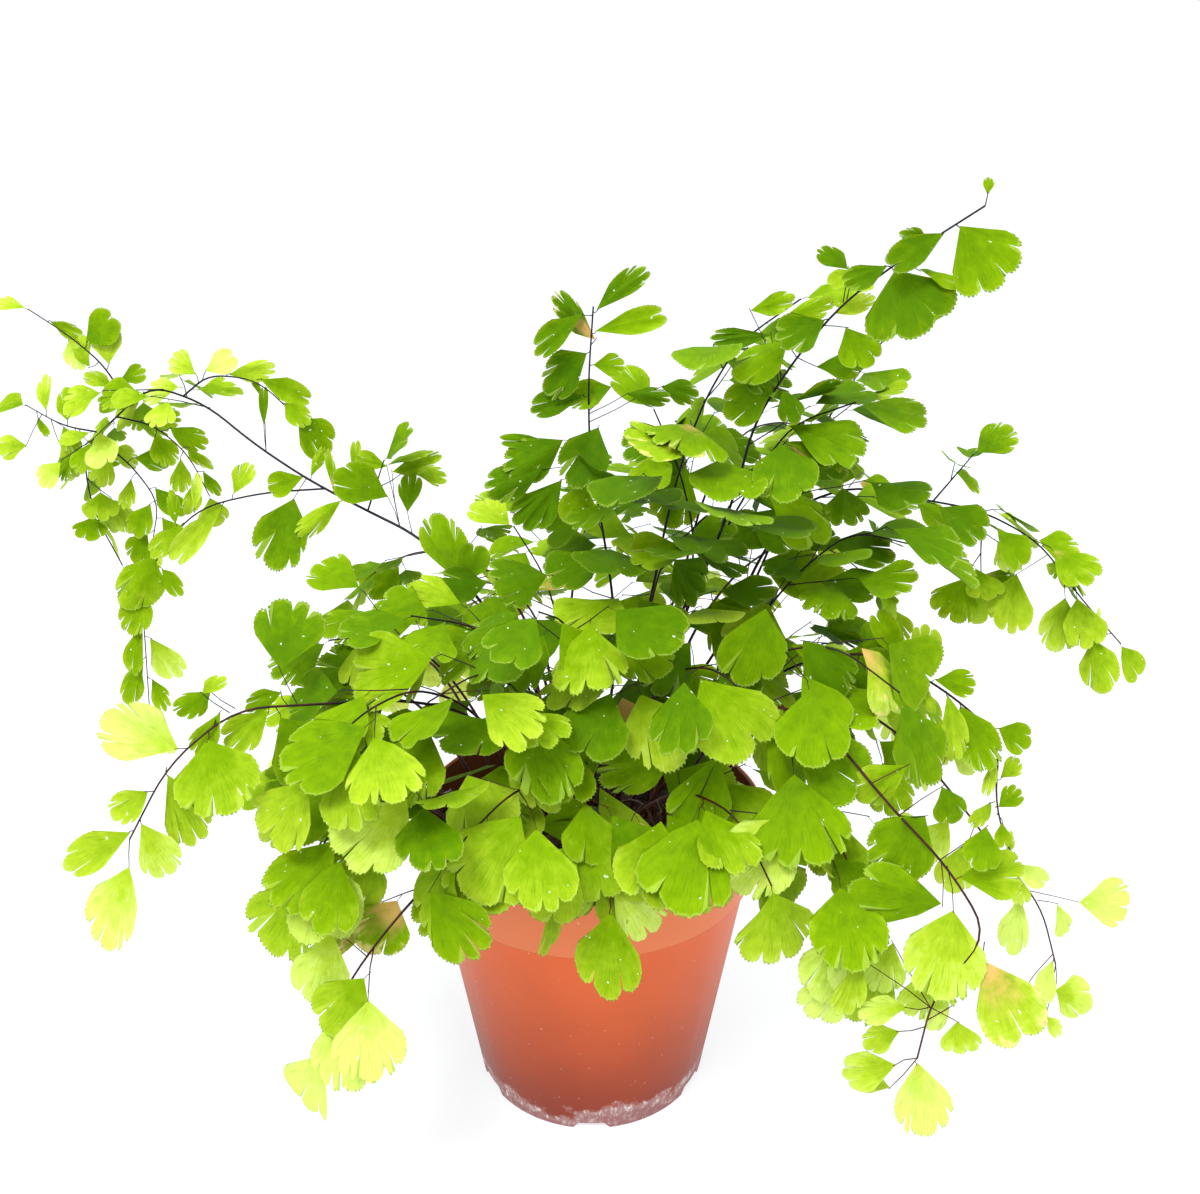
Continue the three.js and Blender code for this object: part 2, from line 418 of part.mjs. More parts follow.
function convexCase(points, faces, owner) {
  const normals = [];
  const edges = [];
  for (const face of faces) {
    const [a, b, c] = face.map((i) => points[i]);
    normals.push(b.clone().sub(a).cross(c.clone().sub(a)).normalize());
    face.forEach((from, k) => {
      const to = face[(k + 1) % face.length];
      if (from < to) edges.push(points[to].clone().sub(points[from]).normalize());
    });
  }
  const sum = points.reduce((total, p) => total.add(p), new THREE.Vector3());
  const centre = sum.divideScalar(points.length);
  const radius = Math.max(...points.map((p) => p.distanceTo(centre)));
  return { points, normals, edges, centre, radius, owner };
}

const boxFaces = [[0, 3, 2, 1], [4, 5, 6, 7], [0, 1, 5, 4], [1, 2, 6, 5], [2, 3, 7, 6],
  [3, 0, 4, 7]];
const bladeFaces = [[0, 1, 3], [2, 3, 1], [0, 2, 1], [0, 3, 2]];

function stretchCase(a, b, radius, owner) {
  const along = b.clone().sub(a).normalize();
  const other = Math.abs(along.z) < 0.9 ? up : new THREE.Vector3(1, 0, 0);
  const side = along.clone().cross(other).normalize();
  const over = side.clone().cross(along);
  const ring = (end) => [[1, 1], [1, -1], [-1, -1], [-1, 1]].map(([s, o]) => (
    plus(end, [side, s * radius], [over, o * radius])));
  return convexCase([...ring(a), ...ring(b)], boxFaces, owner);
}

function stemCases(stations, radius, owner) {
  return stations.slice(1).map((point, i) => stretchCase(stations[i], point, radius, owner));
}

function gapAlong(axis, first, second) {
  let [lowA, highA, lowB, highB] = [Infinity, -Infinity, Infinity, -Infinity];
  for (const p of first.points) {
    const d = p.dot(axis);
    lowA = Math.min(lowA, d);
    highA = Math.max(highA, d);
  }
  for (const p of second.points) {
    const d = p.dot(axis);
    lowB = Math.min(lowB, d);
    highB = Math.max(highB, d);
  }
  return Math.max(lowB - highA, lowA - highB);
}

function apart(first, second) {
  const reach = first.radius + second.radius + clearance;
  if (first.centre.distanceTo(second.centre) > reach) return true;
  for (const axis of [...first.normals, ...second.normals]) {
    if (gapAlong(axis, first, second) > clearance) return true;
  }
  for (const a of first.edges) {
    for (const b of second.edges) {
      const axis = a.clone().cross(b);
      if (axis.lengthSq() < 1e-6) continue;
      if (gapAlong(axis.normalize(), first, second) > clearance) return true;
    }
  }
  return false;
}

const taken = [potCase()];

// A stem and the leaflets on it touch, and so do the stems of one frond.
function mayTouch(first, second) {
  if (first.frond !== second.frond) return false;
  if (first.kind === 'stem' && second.kind === 'stem') return true;
  return first.stem === second.stem || first.host === second.stem || second.host === first.stem;
}

function isFree(cases) {
  return cases.every((mine) => taken.every((other) => (
    mayTouch(mine.owner, other.owner) || apart(mine, other))));
}

function potCase() {
  const corners = [];
  const rings = [[0, pot.baseRadius], [pot.height, pot.rimRadius]];
  const sides = 12;
  for (const [z, radius] of rings) {
    for (let i = 0; i < sides; i += 1) {
      const angle = (i / sides) * 2 * Math.PI;
      const reach = radius / Math.cos(Math.PI / sides);
      corners.push(new THREE.Vector3(reach * Math.cos(angle), reach * Math.sin(angle), z));
    }
  }
  const walls = Array.from({ length: sides }, (_, i) => (
    [i, (i + 1) % sides, sides + ((i + 1) % sides), sides + i]));
  const top = Array.from({ length: sides }, (_, i) => sides + i);
  return convexCase(corners, [...walls, top], { frond: -1, stem: -1, kind: 'pot' });
}

// ---- the fern ----

const bladeTries = [
  { swing: 0, roll: 0, size: 1 }, { swing: 0.25, roll: 0.3, size: 1 },
  { swing: -0.25, roll: -0.3, size: 1 }, { swing: 0.1, roll: 0.7, size: 0.94 },
  { swing: -0.1, roll: -0.7, size: 0.94 }, { swing: 0.45, roll: 0.2, size: 0.86 },
  { swing: -0.45, roll: -0.2, size: 0.86 }, { swing: 0.2, roll: 1.1, size: 0.78 },
  { swing: -0.2, roll: -1.1, size: 0.78 }, { swing: 0, roll: 0.4, size: 0.66 },
];
const heldTries = [0, -0.3, 0.3, -0.6, 0.6, 0.9].flatMap((depth) => (
  [[0, 1], [0.35, 1], [-0.35, 1], [0.7, 0.95], [-0.7, 0.95], [0, 0.8]].map(([roll, size]) => (
    { depth, roll, size }))));
const twigTries = [
  { turn: 0, lift: 0, size: 1 }, { turn: 0.25, lift: 0.15, size: 0.95 },
  { turn: -0.25, lift: -0.15, size: 0.95 }, { turn: 0.1, lift: 0.4, size: 0.85 },
  { turn: -0.1, lift: -0.4, size: 0.85 }, { turn: 0.5, lift: 0, size: 0.7 },
  { turn: -0.4, lift: 0.2, size: 0.6 },
];

function rootPoint([arm, socket]) {
  const angle = THREE.MathUtils.degToRad(rhizome.firstAngle + (360 / rhizome.arms) * arm);
  const reach = rhizome.firstSocket + rhizome.socketStep * socket;
  const z = rhizome.height + rhizome.radius - rhizome.socketDepth;
  return new THREE.Vector3(reach * Math.cos(angle), reach * Math.sin(angle), z);
}

// The side of a stem that looks up, or outwards where the stem stands upright.
function upperSide(along) {
  const side = plus(up, [along, -along.z]);
  if (side.length() < 0.15) side.add(new THREE.Vector3(0, -0.3, 0));
  return plus(side, [along, -side.dot(along)]).normalize();
}

// A leaflet: a thin kite from its stem to its tip, with a ridge from shoulder to shoulder.
function bladeCase(stem, spot, attempt) {
  const along = directionAlong(stem.stations, spot.share);
  const face = upperSide(along);
  const across = along.clone().cross(face);
  const spread = spot.spread + attempt.swing;
  const way = plus(along.clone().multiplyScalar(Math.cos(spread)),
    [across, Math.sin(spread) * spot.side], [up, spot.rise]).normalize();
  const look = new THREE.Vector3(spot.leanX, -stem.tilt + spot.leanY, 1).normalize();
  look.addScaledVector(face, blade.facing);
  look.addScaledVector(way, -look.dot(way)).normalize();
  look.applyAxisAngle(way, attempt.roll);
  const length = spot.length * attempt.size;
  const apex = plus(pointAlong(stem.stations, spot.share), [along, spot.side ? 0 : -endBite]);
  return kite(apex, way, look, length, length * spot.width * 0.5,
    { frond: stem.frond, stem: stem.id, kind: 'blade' });
}

function kite(apex, way, look, length, half, owner) {
  const sideways = way.clone().cross(look);
  const shoulder = plus(apex, [way, length * blade.shoulder], [look, blade.thickness]);
  const points = [apex, plus(shoulder, [sideways, half]), plus(apex, [way, length]),
    plus(shoulder, [sideways, -half])];
  return convexCase(points, bladeFaces, owner);
}

function isAboveGround(piece) {
  return piece.points.every((p) => p.z > groundClearance);
}

function findBlade(stem, spot) {
  for (const attempt of bladeTries) {
    const found = bladeCase(stem, spot, attempt);
    if (isAboveGround(found) && isFree([found])) return found;
  }
  return null;
}

// Where a leaflet sits on its stem and how it is held: keys make it differ from its neighbours.
function bladeSpot(stem, share, side, length, ...keys) {
  return {
    share,
    side,
    spread: side === 0 ? between(-0.4, 0.4, ...keys, 1) : between(0.85, 1.25, ...keys, 1),
    rise: between(-0.25, 0.15, ...keys, 2) - stem.droop,
    leanX: between(-0.45, 0.45, ...keys, 3),
    leanY: between(-0.4, 0.4, ...keys, 4),
    width: between(0.84, 1.05, ...keys, 5),
    length: length * between(0.82, 1.12, ...keys, 6),
  };
}

function growMainStem(frond, index) {
  const points = [rootPoint(frond.root), ...frond.route.map(vec)];
  const stations = smoothStations(points, stemStep);
  const stem = { frond: index, id: 0, stations, radius: stipeRadius, leaf: frond.leaf,
    tilt: frond.tilt, leafFrom: frond.leafFrom, twigs: frond.twigs, reach: frond.reach,
    tip: frond.tip ?? 1, droop: frond.droop ?? blade.droop, leafTo: frond.leafTo ?? 1,
    held: frond.held ?? [] };
  taken.push(...stemCases(stations, stipeRadius, { frond: index, stem: 0, kind: 'stem' }));
  return stem;
}

function growArm(frond, index, arm, armIndex, main) {
  const start = pointAlong(main.stations, arm.at);
  const stations = smoothStations([start, ...arm.route.map(vec)], stemStep);
  const id = 100 * (armIndex + 1);
  taken.push(...stemCases(stations, twigRadius, { frond: index, stem: id, kind: 'stem' }));
  return { frond: index, id, stations, radius: twigRadius, leaf: arm.leaf, tilt: frond.tilt,
    leafFrom: armLeavesFrom, twigs: arm.twigs, reach: arm.reach, tip: 1,
    droop: frond.droop ?? blade.droop, leafTo: arm.leafTo ?? 1, held: arm.held ?? [] };
}

function twigStations(stem, share, side, attempt, reach, keys) {
  const start = pointAlong(stem.stations, share);
  const along = directionAlong(stem.stations, share);
  const face = upperSide(along);
  const across = along.clone().cross(face);
  const turn = between(0.8, 1.15, ...keys, 1) + attempt.turn;
  const way = plus(along.clone().multiplyScalar(Math.cos(turn)), [across, side * Math.sin(turn)],
    [face, between(-0.25, 0.3, ...keys, 2)], [along, 0.12], [up, attempt.lift - 0.12]).normalize();
  return [start, plus(start, [way, reach * attempt.size])];
}

// A side twig stands only with the leaflet at its end.
function growTwig(stem, share, side, reach, id) {
  const keys = [stem.frond, id];
  for (const attempt of twigTries) {
    const stations = twigStations(stem, share, side, attempt, reach, keys);
    const twig = { ...stem, id, stations, radius: twigRadius };
    const cases = stemCases(stations, twigRadius, { frond: stem.frond, stem: id, kind: 'stem' });
    if (!isFree(cases)) continue;
    const endBlade = findBlade(twig, bladeSpot(twig, 1, 0, stem.leaf, ...keys, 9));
    if (endBlade) {
      taken.push(...cases, endBlade);
      const blades = growBlades(twig, twigLeaves.from, twigLeaves.to, keys);
      return { twig, blades: [endBlade, ...blades] };
    }
  }
  return null;
}

// Leaflets left and right in turn along a stretch of a stem.
function growBlades(stem, from, to, keys) {
  const stretch = (to - from) * lengthOf(stem.stations);
  const count = Math.max(1, Math.round(stretch / (blade.spacing * stem.leaf)));
  const blades = [];
  for (let i = 0; i < count; i += 1) {
    const share = from + ((to - from) * (i + 0.5)) / count;
    const side = (i + stem.id) % 2 ? 1 : -1;
    const found = findBlade(stem, bladeSpot(stem, share, side, stem.leaf, ...keys, 20 + i));
    if (found) {
      taken.push(found);
      blades.push(found);
    }
  }
  return blades;
}

// The way of something turned so many degrees clockwise from upwards, seen from the front.
function seenWay(turn, depth) {
  const angle = THREE.MathUtils.degToRad(turn);
  return plus(seen.up.clone().multiplyScalar(Math.cos(angle)), [seen.right, Math.sin(angle)],
    [seen.away, depth]).normalize();
}

// A leaflet that a frond's table holds out on a stalk of its own.
function growHeld(stem, [share, stalk, stalkTurn, turn, length, width], id) {
  const start = pointAlong(stem.stations, share);
  const lean = between(-0.3, 0.3, stem.frond, id, 1);
  for (const attempt of heldTries) {
    const stalkWay = seenWay(stalkTurn, attempt.depth);
    const end = plus(start, [stalkWay, stalk]);
    const owner = { frond: stem.frond, stem: id, host: stem.id };
    const cases = stemCases([start, end], twigRadius, { ...owner, kind: 'stem' });
    if (!isFree(cases)) continue;
    const way = seenWay(turn, attempt.depth * 0.5 + lean * 0.6);
    const look = plus(seen.away.clone().negate(), [seen.right, lean]);
    look.addScaledVector(way, -look.dot(way)).normalize();
    look.applyAxisAngle(way, attempt.roll);
    const found = kite(plus(end, [stalkWay, -endBite]), way, look, length,
      (width / 2) * attempt.size, { ...owner, kind: 'blade' });
    if (isAboveGround(found) && isFree([found])) {
      taken.push(...cases, found);
      return { stem: { ...stem, id, stations: [start, end], radius: twigRadius }, blade: found };
    }
  }
  return null;
}

function growAllHeld(stem) {
  return stem.held.map((row, i) => growHeld(stem, row, stem.id + heldIds + i)).filter(Boolean);
}

// Everything that a stem carries: its end leaflet, its twigs, then leaflets near the end.
function growFoliage(stem) {
  const keys = [stem.frond, stem.id];
  const grown = { stems: [stem], blades: [] };
  const endSpot = bladeSpot(stem, 1, 0, stem.leaf * stem.tip, ...keys, 3);
  const endBlade = stem.tip ? findBlade(stem, endSpot) : null;
  if (endBlade) {
    taken.push(endBlade);
    grown.blades.push(endBlade);
  }
  const twigsTo = stem.leafFrom + (stem.leafTo - stem.leafFrom) * twigZone;
  for (let i = 0; i < stem.twigs; i += 1) {
    const share = stem.leafFrom + ((twigsTo - stem.leafFrom) * (i + 0.5)) / stem.twigs;
    const reach = stem.reach * (1 - (0.5 * i) / stem.twigs) * between(0.8, 1.1, ...keys, 40 + i);
    const result = growTwig(stem, share, i % 2 ? 1 : -1, reach, stem.id + i + 1);
    if (result) {
      grown.stems.push(result.twig);
      grown.blades.push(...result.blades);
    }
  }
  const bladesFrom = stem.twigs ? twigsTo : stem.leafFrom;
  grown.blades.push(...growBlades(stem, bladesFrom, stem.leafTo * lastLeaf, keys));
  return grown;
}

function growFern() {
  const mains = fronds.map(growMainStem);
  const arms = fronds.map((frond, i) => (
    (frond.arms ?? []).map((arm, k) => growArm(frond, i, arm, k, mains[i]))));
  const held = fronds.map((frond, i) => [mains[i], ...arms[i]].flatMap(growAllHeld));
  return fronds.map((frond, i) => {
    const parts = [mains[i], ...arms[i]].map(growFoliage);
    return {
      stems: [...parts.flatMap((p) => p.stems), ...held[i].map((h) => h.stem)],
      blades: [...parts.flatMap((p) => p.blades), ...held[i].map((h) => h.blade)],
    };
  });
}

// Stems and leaflets in one piece.
function frondSolid(grown) {
  const stems = grown.stems.map((stem) => solidOf(tube(stem.stations, stem.radius, 3)));
  const blades = grown.blades.map((one) => solidOf(new ConvexGeometry(one.points)));
  return [...stems, ...blades].reduce((whole, piece) => whole.add(piece)).simplify(finestEdge);
}

// ---- pot, soil and rhizome ----

function wallRadius(z) {
  const bandFoot = pot.height - pot.bandHeight;
  return THREE.MathUtils.lerp(pot.baseRadius, pot.bandRadius - pot.bandStep, z / bandFoot);
}

// Inside of the pot as [radius, z], from the rim down to the middle of the floor.
function potInside() {
  const bandFoot = pot.height - pot.bandHeight;
  const floorTop = pot.floorLift + pot.floor;
  return [
    [pot.rimRadius - 1.6, pot.height],
    [pot.bandRadius - pot.wall, bandFoot + 1],
    [wallRadius(bandFoot) - pot.wall, bandFoot - 1],
    [wallRadius(floorTop) - pot.wall, floorTop],
    [pot.footRadius - 0.2, floorTop],
    [pot.footRadius - 1.4, pot.floor],
    [0, pot.floor],
  ];
}

function potSolid() {
  const bandFoot = pot.height - pot.bandHeight;
  const outside = [
    [0, 0],
    [pot.footRadius, 0],
    [pot.footRadius + 1.2, pot.floorLift],
    [pot.baseRadius - 2.6, pot.floorLift],
    [pot.baseRadius - 1.9, 0],
    [pot.baseRadius, 0],
    [wallRadius(bandFoot), bandFoot],
    [pot.bandRadius, bandFoot],
    [pot.rimRadius - 0.7, pot.height - 2.2],
    [pot.rimRadius, pot.height - 1.6],
    [pot.rimRadius, pot.height],
  ];
  const profile = [...outside, ...potInside()].map(([r, z]) => new THREE.Vector2(r, z));
  let solid = solidOf(new THREE.LatheGeometry(profile, pot.sides).rotateX(Math.PI / 2));
  for (let i = 0; i < pot.notches; i += 1) {
    const angle = ((i + 0.5) / pot.notches) * 2 * Math.PI;
    const notch = new THREE.BoxGeometry(8, pot.notchWidth, 2 * pot.notchHeight)
      .translate(pot.baseRadius - 1, 0, 0).rotateZ(angle);
    solid = solid.subtract(solidOf(notch));
  }
  for (let i = 0; i < pot.drains; i += 1) {
    const angle = (i / pot.drains) * 2 * Math.PI;
    const drain = new THREE.CylinderGeometry(pot.drainRadius, pot.drainRadius, 12, 6)
      .rotateX(Math.PI / 2).translate(pot.drainCircle, 0, pot.floorLift).rotateZ(angle);
    solid = solid.subtract(solidOf(drain));
  }
  return solid;
}

function armStations(arm, extra = 0) {
  const angle = THREE.MathUtils.degToRad(rhizome.firstAngle + (360 / rhizome.arms) * arm);
  const reaches = [0, 0.5, 1].map((share) => share * rhizome.length);
  reaches[reaches.length - 1] += extra;
  return reaches.map((reach) => new THREE.Vector3(reach * Math.cos(angle), reach * Math.sin(angle),
    rhizome.height));
}

function rhizomeBody(extra) {
  const hub = new THREE.SphereGeometry(rhizome.hub + extra, 10, 6).scale(1, 1, 0.75)
    .translate(0, 0, rhizome.height);
  let solid = solidOf(hub);
  for (let arm = 0; arm < rhizome.arms; arm += 1) {
    solid = solid.add(solidOf(tube(armStations(arm, extra), rhizome.radius + extra, 5)));
  }
  return solid;
}

function stubStations([arm, reach, height, lean]) {
  const angle = THREE.MathUtils.degToRad(rhizome.firstAngle + (360 / rhizome.arms) * arm);
  const foot = new THREE.Vector3(reach * Math.cos(angle), reach * Math.sin(angle), rhizome.height);
  const way = new THREE.Vector3(lean * Math.cos(angle), lean * Math.sin(angle), 1).normalize();
  return [foot, plus(foot, [way, rhizome.radius + height])];
}

function rhizomeSolid(grown) {
  let solid = rhizomeBody(0);
  for (const stub of stubs) {
    solid = solid.add(solidOf(tube(stubStations(stub), stubRadius, 5)));
  }
  for (const { stems } of grown) {
    const [start, next] = stems[0].stations;
    const way = next.clone().sub(start).normalize();
    const socket = [plus(start, [way, -gap]), plus(start, [way, 2.5 * rhizome.socketDepth])];
    solid = solid.subtract(solidOf(tube(socket, stipeRadius + 2 * gap, 3)));
  }
  return solid;
}

function soilSolid() {
  const inside = potInside().reverse().map(([r, z]) => [Math.max(r - gap, 0), z + gap]);
  const wallPoints = inside.slice(0, -1);
  const wallRise = (soil.top - wallPoints.at(-1)[1]) / (inside.at(-1)[1] - wallPoints.at(-1)[1]);
  const edge = THREE.MathUtils.lerp(wallPoints.at(-1)[0], inside.at(-1)[0], wallRise);
  const profile = [...wallPoints, [edge, soil.top],
    ...soil.rings.map((share) => [share * edge, soil.top]), [0, soil.top]];
  const outline = profile.map(([r, z]) => new THREE.Vector2(r, z));
  const geometry = new THREE.LatheGeometry(outline, soil.sides).rotateX(Math.PI / 2);
  const place = geometry.attributes.position;
  const lumpsFrom = edge * (soil.rings.at(-1) + 0.01);
  for (let i = 0; i < place.count; i += 1) {
    const [x, y] = [place.getX(i), place.getY(i)];
    if (place.getZ(i) > soil.top - 0.1 && Math.hypot(x, y) > lumpsFrom) {
      place.setZ(i, soil.top + soil.lump * between(-1, 1, Math.round(x), Math.round(y)));
    }
  }
  return solidOf(geometry).subtract(rhizomeBody(gap));
}

// ---- the object ----

const finishes = {
  pot: { color: 0xc4562d, roughness: 0.42, metalness: 0 },
  soil: { color: 0x2a201a, roughness: 0.95, metalness: 0 },
  rhizome: { color: 0x4a3323, roughness: 0.85, metalness: 0 },
  frond: { color: 0x7cb32b, roughness: 0.55, metalness: 0 },
};

function meshOf(name, solid, finish) {
  const mesh = new THREE.Mesh(geometryOf(solid), new THREE.MeshStandardMaterial(finish));
  mesh.name = name;
  return mesh;
}

function pottedFern() {
  const grown = growFern();
  const group = new THREE.Group();
  group.add(meshOf('pot', potSolid(), finishes.pot));
  group.add(meshOf('soil', soilSolid(), finishes.soil));
  group.add(meshOf('rhizome', rhizomeSolid(grown), finishes.rhizome));
  grown.forEach((frond, i) => {
    group.add(meshOf(`frond_${fronds[i].name}`, frondSolid(frond), finishes.frond));
  });
  return group;
}

export default pottedFern();
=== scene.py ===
import math
import random

import bmesh
import bpy
from mathutils import Matrix, Vector, noise
from mathutils.kdtree import KDTree


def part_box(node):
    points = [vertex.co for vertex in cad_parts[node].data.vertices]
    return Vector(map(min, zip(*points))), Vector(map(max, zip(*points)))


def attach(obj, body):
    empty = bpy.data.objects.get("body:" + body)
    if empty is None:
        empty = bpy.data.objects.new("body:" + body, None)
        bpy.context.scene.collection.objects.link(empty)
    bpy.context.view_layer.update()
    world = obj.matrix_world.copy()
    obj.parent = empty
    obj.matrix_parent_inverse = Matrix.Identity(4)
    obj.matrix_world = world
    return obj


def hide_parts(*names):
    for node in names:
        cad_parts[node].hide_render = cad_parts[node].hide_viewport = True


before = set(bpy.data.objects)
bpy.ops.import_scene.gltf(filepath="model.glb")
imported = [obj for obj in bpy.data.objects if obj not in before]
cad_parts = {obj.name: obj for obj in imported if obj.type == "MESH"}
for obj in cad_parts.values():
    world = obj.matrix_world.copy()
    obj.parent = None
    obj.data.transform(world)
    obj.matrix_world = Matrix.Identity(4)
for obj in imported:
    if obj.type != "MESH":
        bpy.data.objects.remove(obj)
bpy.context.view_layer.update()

scene = bpy.context.scene
mm = 0.001
up = Vector((0, 0, 1))


# camera, sky and lamps

view = {
    "place": (0.003, -0.362, 0.327),
    "downward": 21.7,  # degrees
    "lens": 36,
    "sensor": 36,
    "nearest": 0.01,
}

studio = {
    "sky": 1.0,
    "aim": (0, 0, 0.15),
    "lamps": {
        "key": {"place": (-0.35, -0.8, 1.25), "size": 0.45, "power": 12},
        "top": {"place": (0.2, 0.15, 1.35), "size": 1.0, "power": 7},
        "fill": {"place": (0.95, -0.35, 0.55), "size": 0.8, "power": 1},
    },
}


def addLamp(name, lamp):
    data = bpy.data.lights.new(name, "AREA")
    data.shape = "DISK"
    data.size = lamp["size"]
    data.energy = lamp["power"]
    thing = bpy.data.objects.new(name, data)
    thing.location = lamp["place"]
    way = Vector(studio["aim"]) - thing.location
    thing.rotation_euler = way.to_track_quat("-Z", "Y").to_euler()
    scene.collection.objects.link(thing)


def addCamera():
    data = bpy.data.cameras.new("camera")
    data.lens = view["lens"]
    data.sensor_width = view["sensor"]
    data.clip_start = view["nearest"]
    thing = bpy.data.objects.new("camera", data)
    thing.location = view["place"]
    thing.rotation_euler = (math.radians(90 - view["downward"]), 0, 0)
    scene.collection.objects.link(thing)
    scene.camera = thing


def addSky():
    world = bpy.data.worlds.new("studioSky")
    world.use_nodes = True
    back = world.node_tree.nodes["Background"]
    back.inputs["Color"].default_value = (1, 1, 1, 1)
    back.inputs["Strength"].default_value = studio["sky"]
    scene.world = world
    scene.view_settings.view_transform = "Standard"


# shader helpers


class Wire:
    # one output socket, so that shader maths reads as a plain sum
    def __init__(self, recipe, socket):
        self.recipe = recipe
        self.socket = socket

    def join(self, operation, first, second):
        return self.recipe.node("ShaderNodeMath", {"operation": operation}, {0: first, 1: second})

    def __add__(self, other):
        return self.join("ADD", self, other)

    def __radd__(self, other):
        return self.join("ADD", other, self)

    def __sub__(self, other):
        return self.join("SUBTRACT", self, other)

    def __rsub__(self, other):
        return self.join("SUBTRACT", other, self)

    def __mul__(self, other):
        return self.join("MULTIPLY", self, other)

    def __rmul__(self, other):
        return self.join("MULTIPLY", other, self)

    def __pow__(self, other):
        return self.join("POWER", self, other)


class Finish:
    # a material with its own nodes
    def __init__(self, name):
        self.material = bpy.data.materials.new(name)
        self.material.use_nodes = True
        self.tree = self.material.node_tree
        self.shader = self.tree.nodes["Principled BSDF"]

    def feed(self, socket, value):
        if isinstance(value, Wire):
            self.tree.links.new(value.socket, socket)
        else:
            socket.default_value = value

    def node(self, kind, settings=None, inputs=None, output=0):
        made = self.tree.nodes.new(kind)
        for key, value in (settings or {}).items():
            if key == "stops":
                self.setRamp(made.color_ramp, value)
            else:
                setattr(made, key, value)
        for key, value in (inputs or {}).items():
            self.feed(made.inputs[key], value)
        return Wire(self, made.outputs[output])

    def setRamp(self, ramp, stops):
        while len(ramp.elements) < len(stops):
            ramp.elements.new(1)
        for element, (place, colour) in zip(ramp.elements, stops):
            element.position = place
            element.color = (*colour, 1)

    def place(self):
        return self.node("ShaderNodeTexCoord", output="Object")

    def mapped(self, vector, scale):
        return self.node("ShaderNodeMapping", {}, {"Vector": vector, "Scale": scale})

    def noise(self, vector, scale, detail=3, rough=0.5):
        return self.node("ShaderNodeTexNoise", {}, {
            "Vector": vector, "Scale": scale, "Detail": detail, "Roughness": rough})

    def ramp(self, value, *stops):
        return self.node("ShaderNodeValToRGB", {"stops": stops}, {"Fac": value})

    def rise(self, value, low, high):
        return self.node("ShaderNodeMapRange", {"interpolation_type": "SMOOTHSTEP"}, {
            "Value": value, "From Min": low, "From Max": high})

    def blend(self, first, second, share):
        first, second = ((*side, 1) if isinstance(side, tuple) else side for side in (first, second))
        # the colour sockets of a Mix node are inputs 6 and 7, and output 2
        return self.node("ShaderNodeMix", {"data_type": "RGBA"}, {0: share, 6: first, 7: second}, 2)

    def attribute(self, name):
        return self.node("ShaderNodeAttribute", {"attribute_name": name}, output="Fac")

    def parts(self, vector):
        split = self.node("ShaderNodeSeparateXYZ", {}, {"Vector": vector}).socket.node
        return [Wire(self, socket) for socket in split.outputs]

    def bump(self, height, distance, strength=1.0):
        wire = self.node("ShaderNodeBump", {}, {
            "Height": height, "Distance": distance, "Strength": strength})
        self.feed(self.shader.inputs["Normal"], wire)

    def set(self, **values):
        for name, value in values.items():
            self.feed(self.shader.inputs[name.replace("_", " ")], value)


# the way the fern grows, by the same rules and routes as in the CAD source

rhizome = {
    "arms": 7,
    "firstAngle": 10,
    "length": 41 * mm,
    "radius": 4.6 * mm,
    "height": 94.5 * mm,
    "hub": 8 * mm,
    "firstSocket": 7 * mm,
    "socketStep": 6 * mm,
    "socketDepth": 2.6 * mm,
}

growth = {
    "fineSteps": 16,  # between two points of a route
    "stemStep": 24 * mm,
    "shoulder": 0.76,
    "thickness": 0.55 * mm,
    "facing": 0.6,
    "droop": 0.35,
    "spacing": 0.5,
    "twigLeaves": (0.24, 0.86),
    "armLeavesFrom": 0.12,
    "bareArmLeavesTo": 0.1,
    "twigZone": 0.74,
    "lastLeaf": 0.96,
    "armIds": 100,
    "heldIds": 50,
    "endBite": 0.8 * mm,
    "tolerance": 0.06 * mm,
    "spread": (0.85, 1.25),  # of a leaflet beside its stem
    "tipSpread": (-0.4, 0.4),
    "rise": (-0.25, 0.15),
    "leanX": (-0.45, 0.45),
    "leanY": (-0.4, 0.4),
    "width": (0.84, 1.05),
    "length": (0.82, 1.12),
    "heldLean": (-0.3, 0.3),
    "twigSpread": (0.8, 1.15),
    "twigRise": (-0.25, 0.3),
    "twigForward": 0.12,
    "twigSag": 0.12,
    "twigReach": (0.8, 1.1),
    "twigShrink": 0.5,  # of the last twig, compared with the first
}

# as the fern is seen from the front and a little above
seenRight = Vector((1, 0, 0))
seenUp = Vector((0, 0.36, 0.93))
seenAway = Vector((0, 0.93, -0.36))

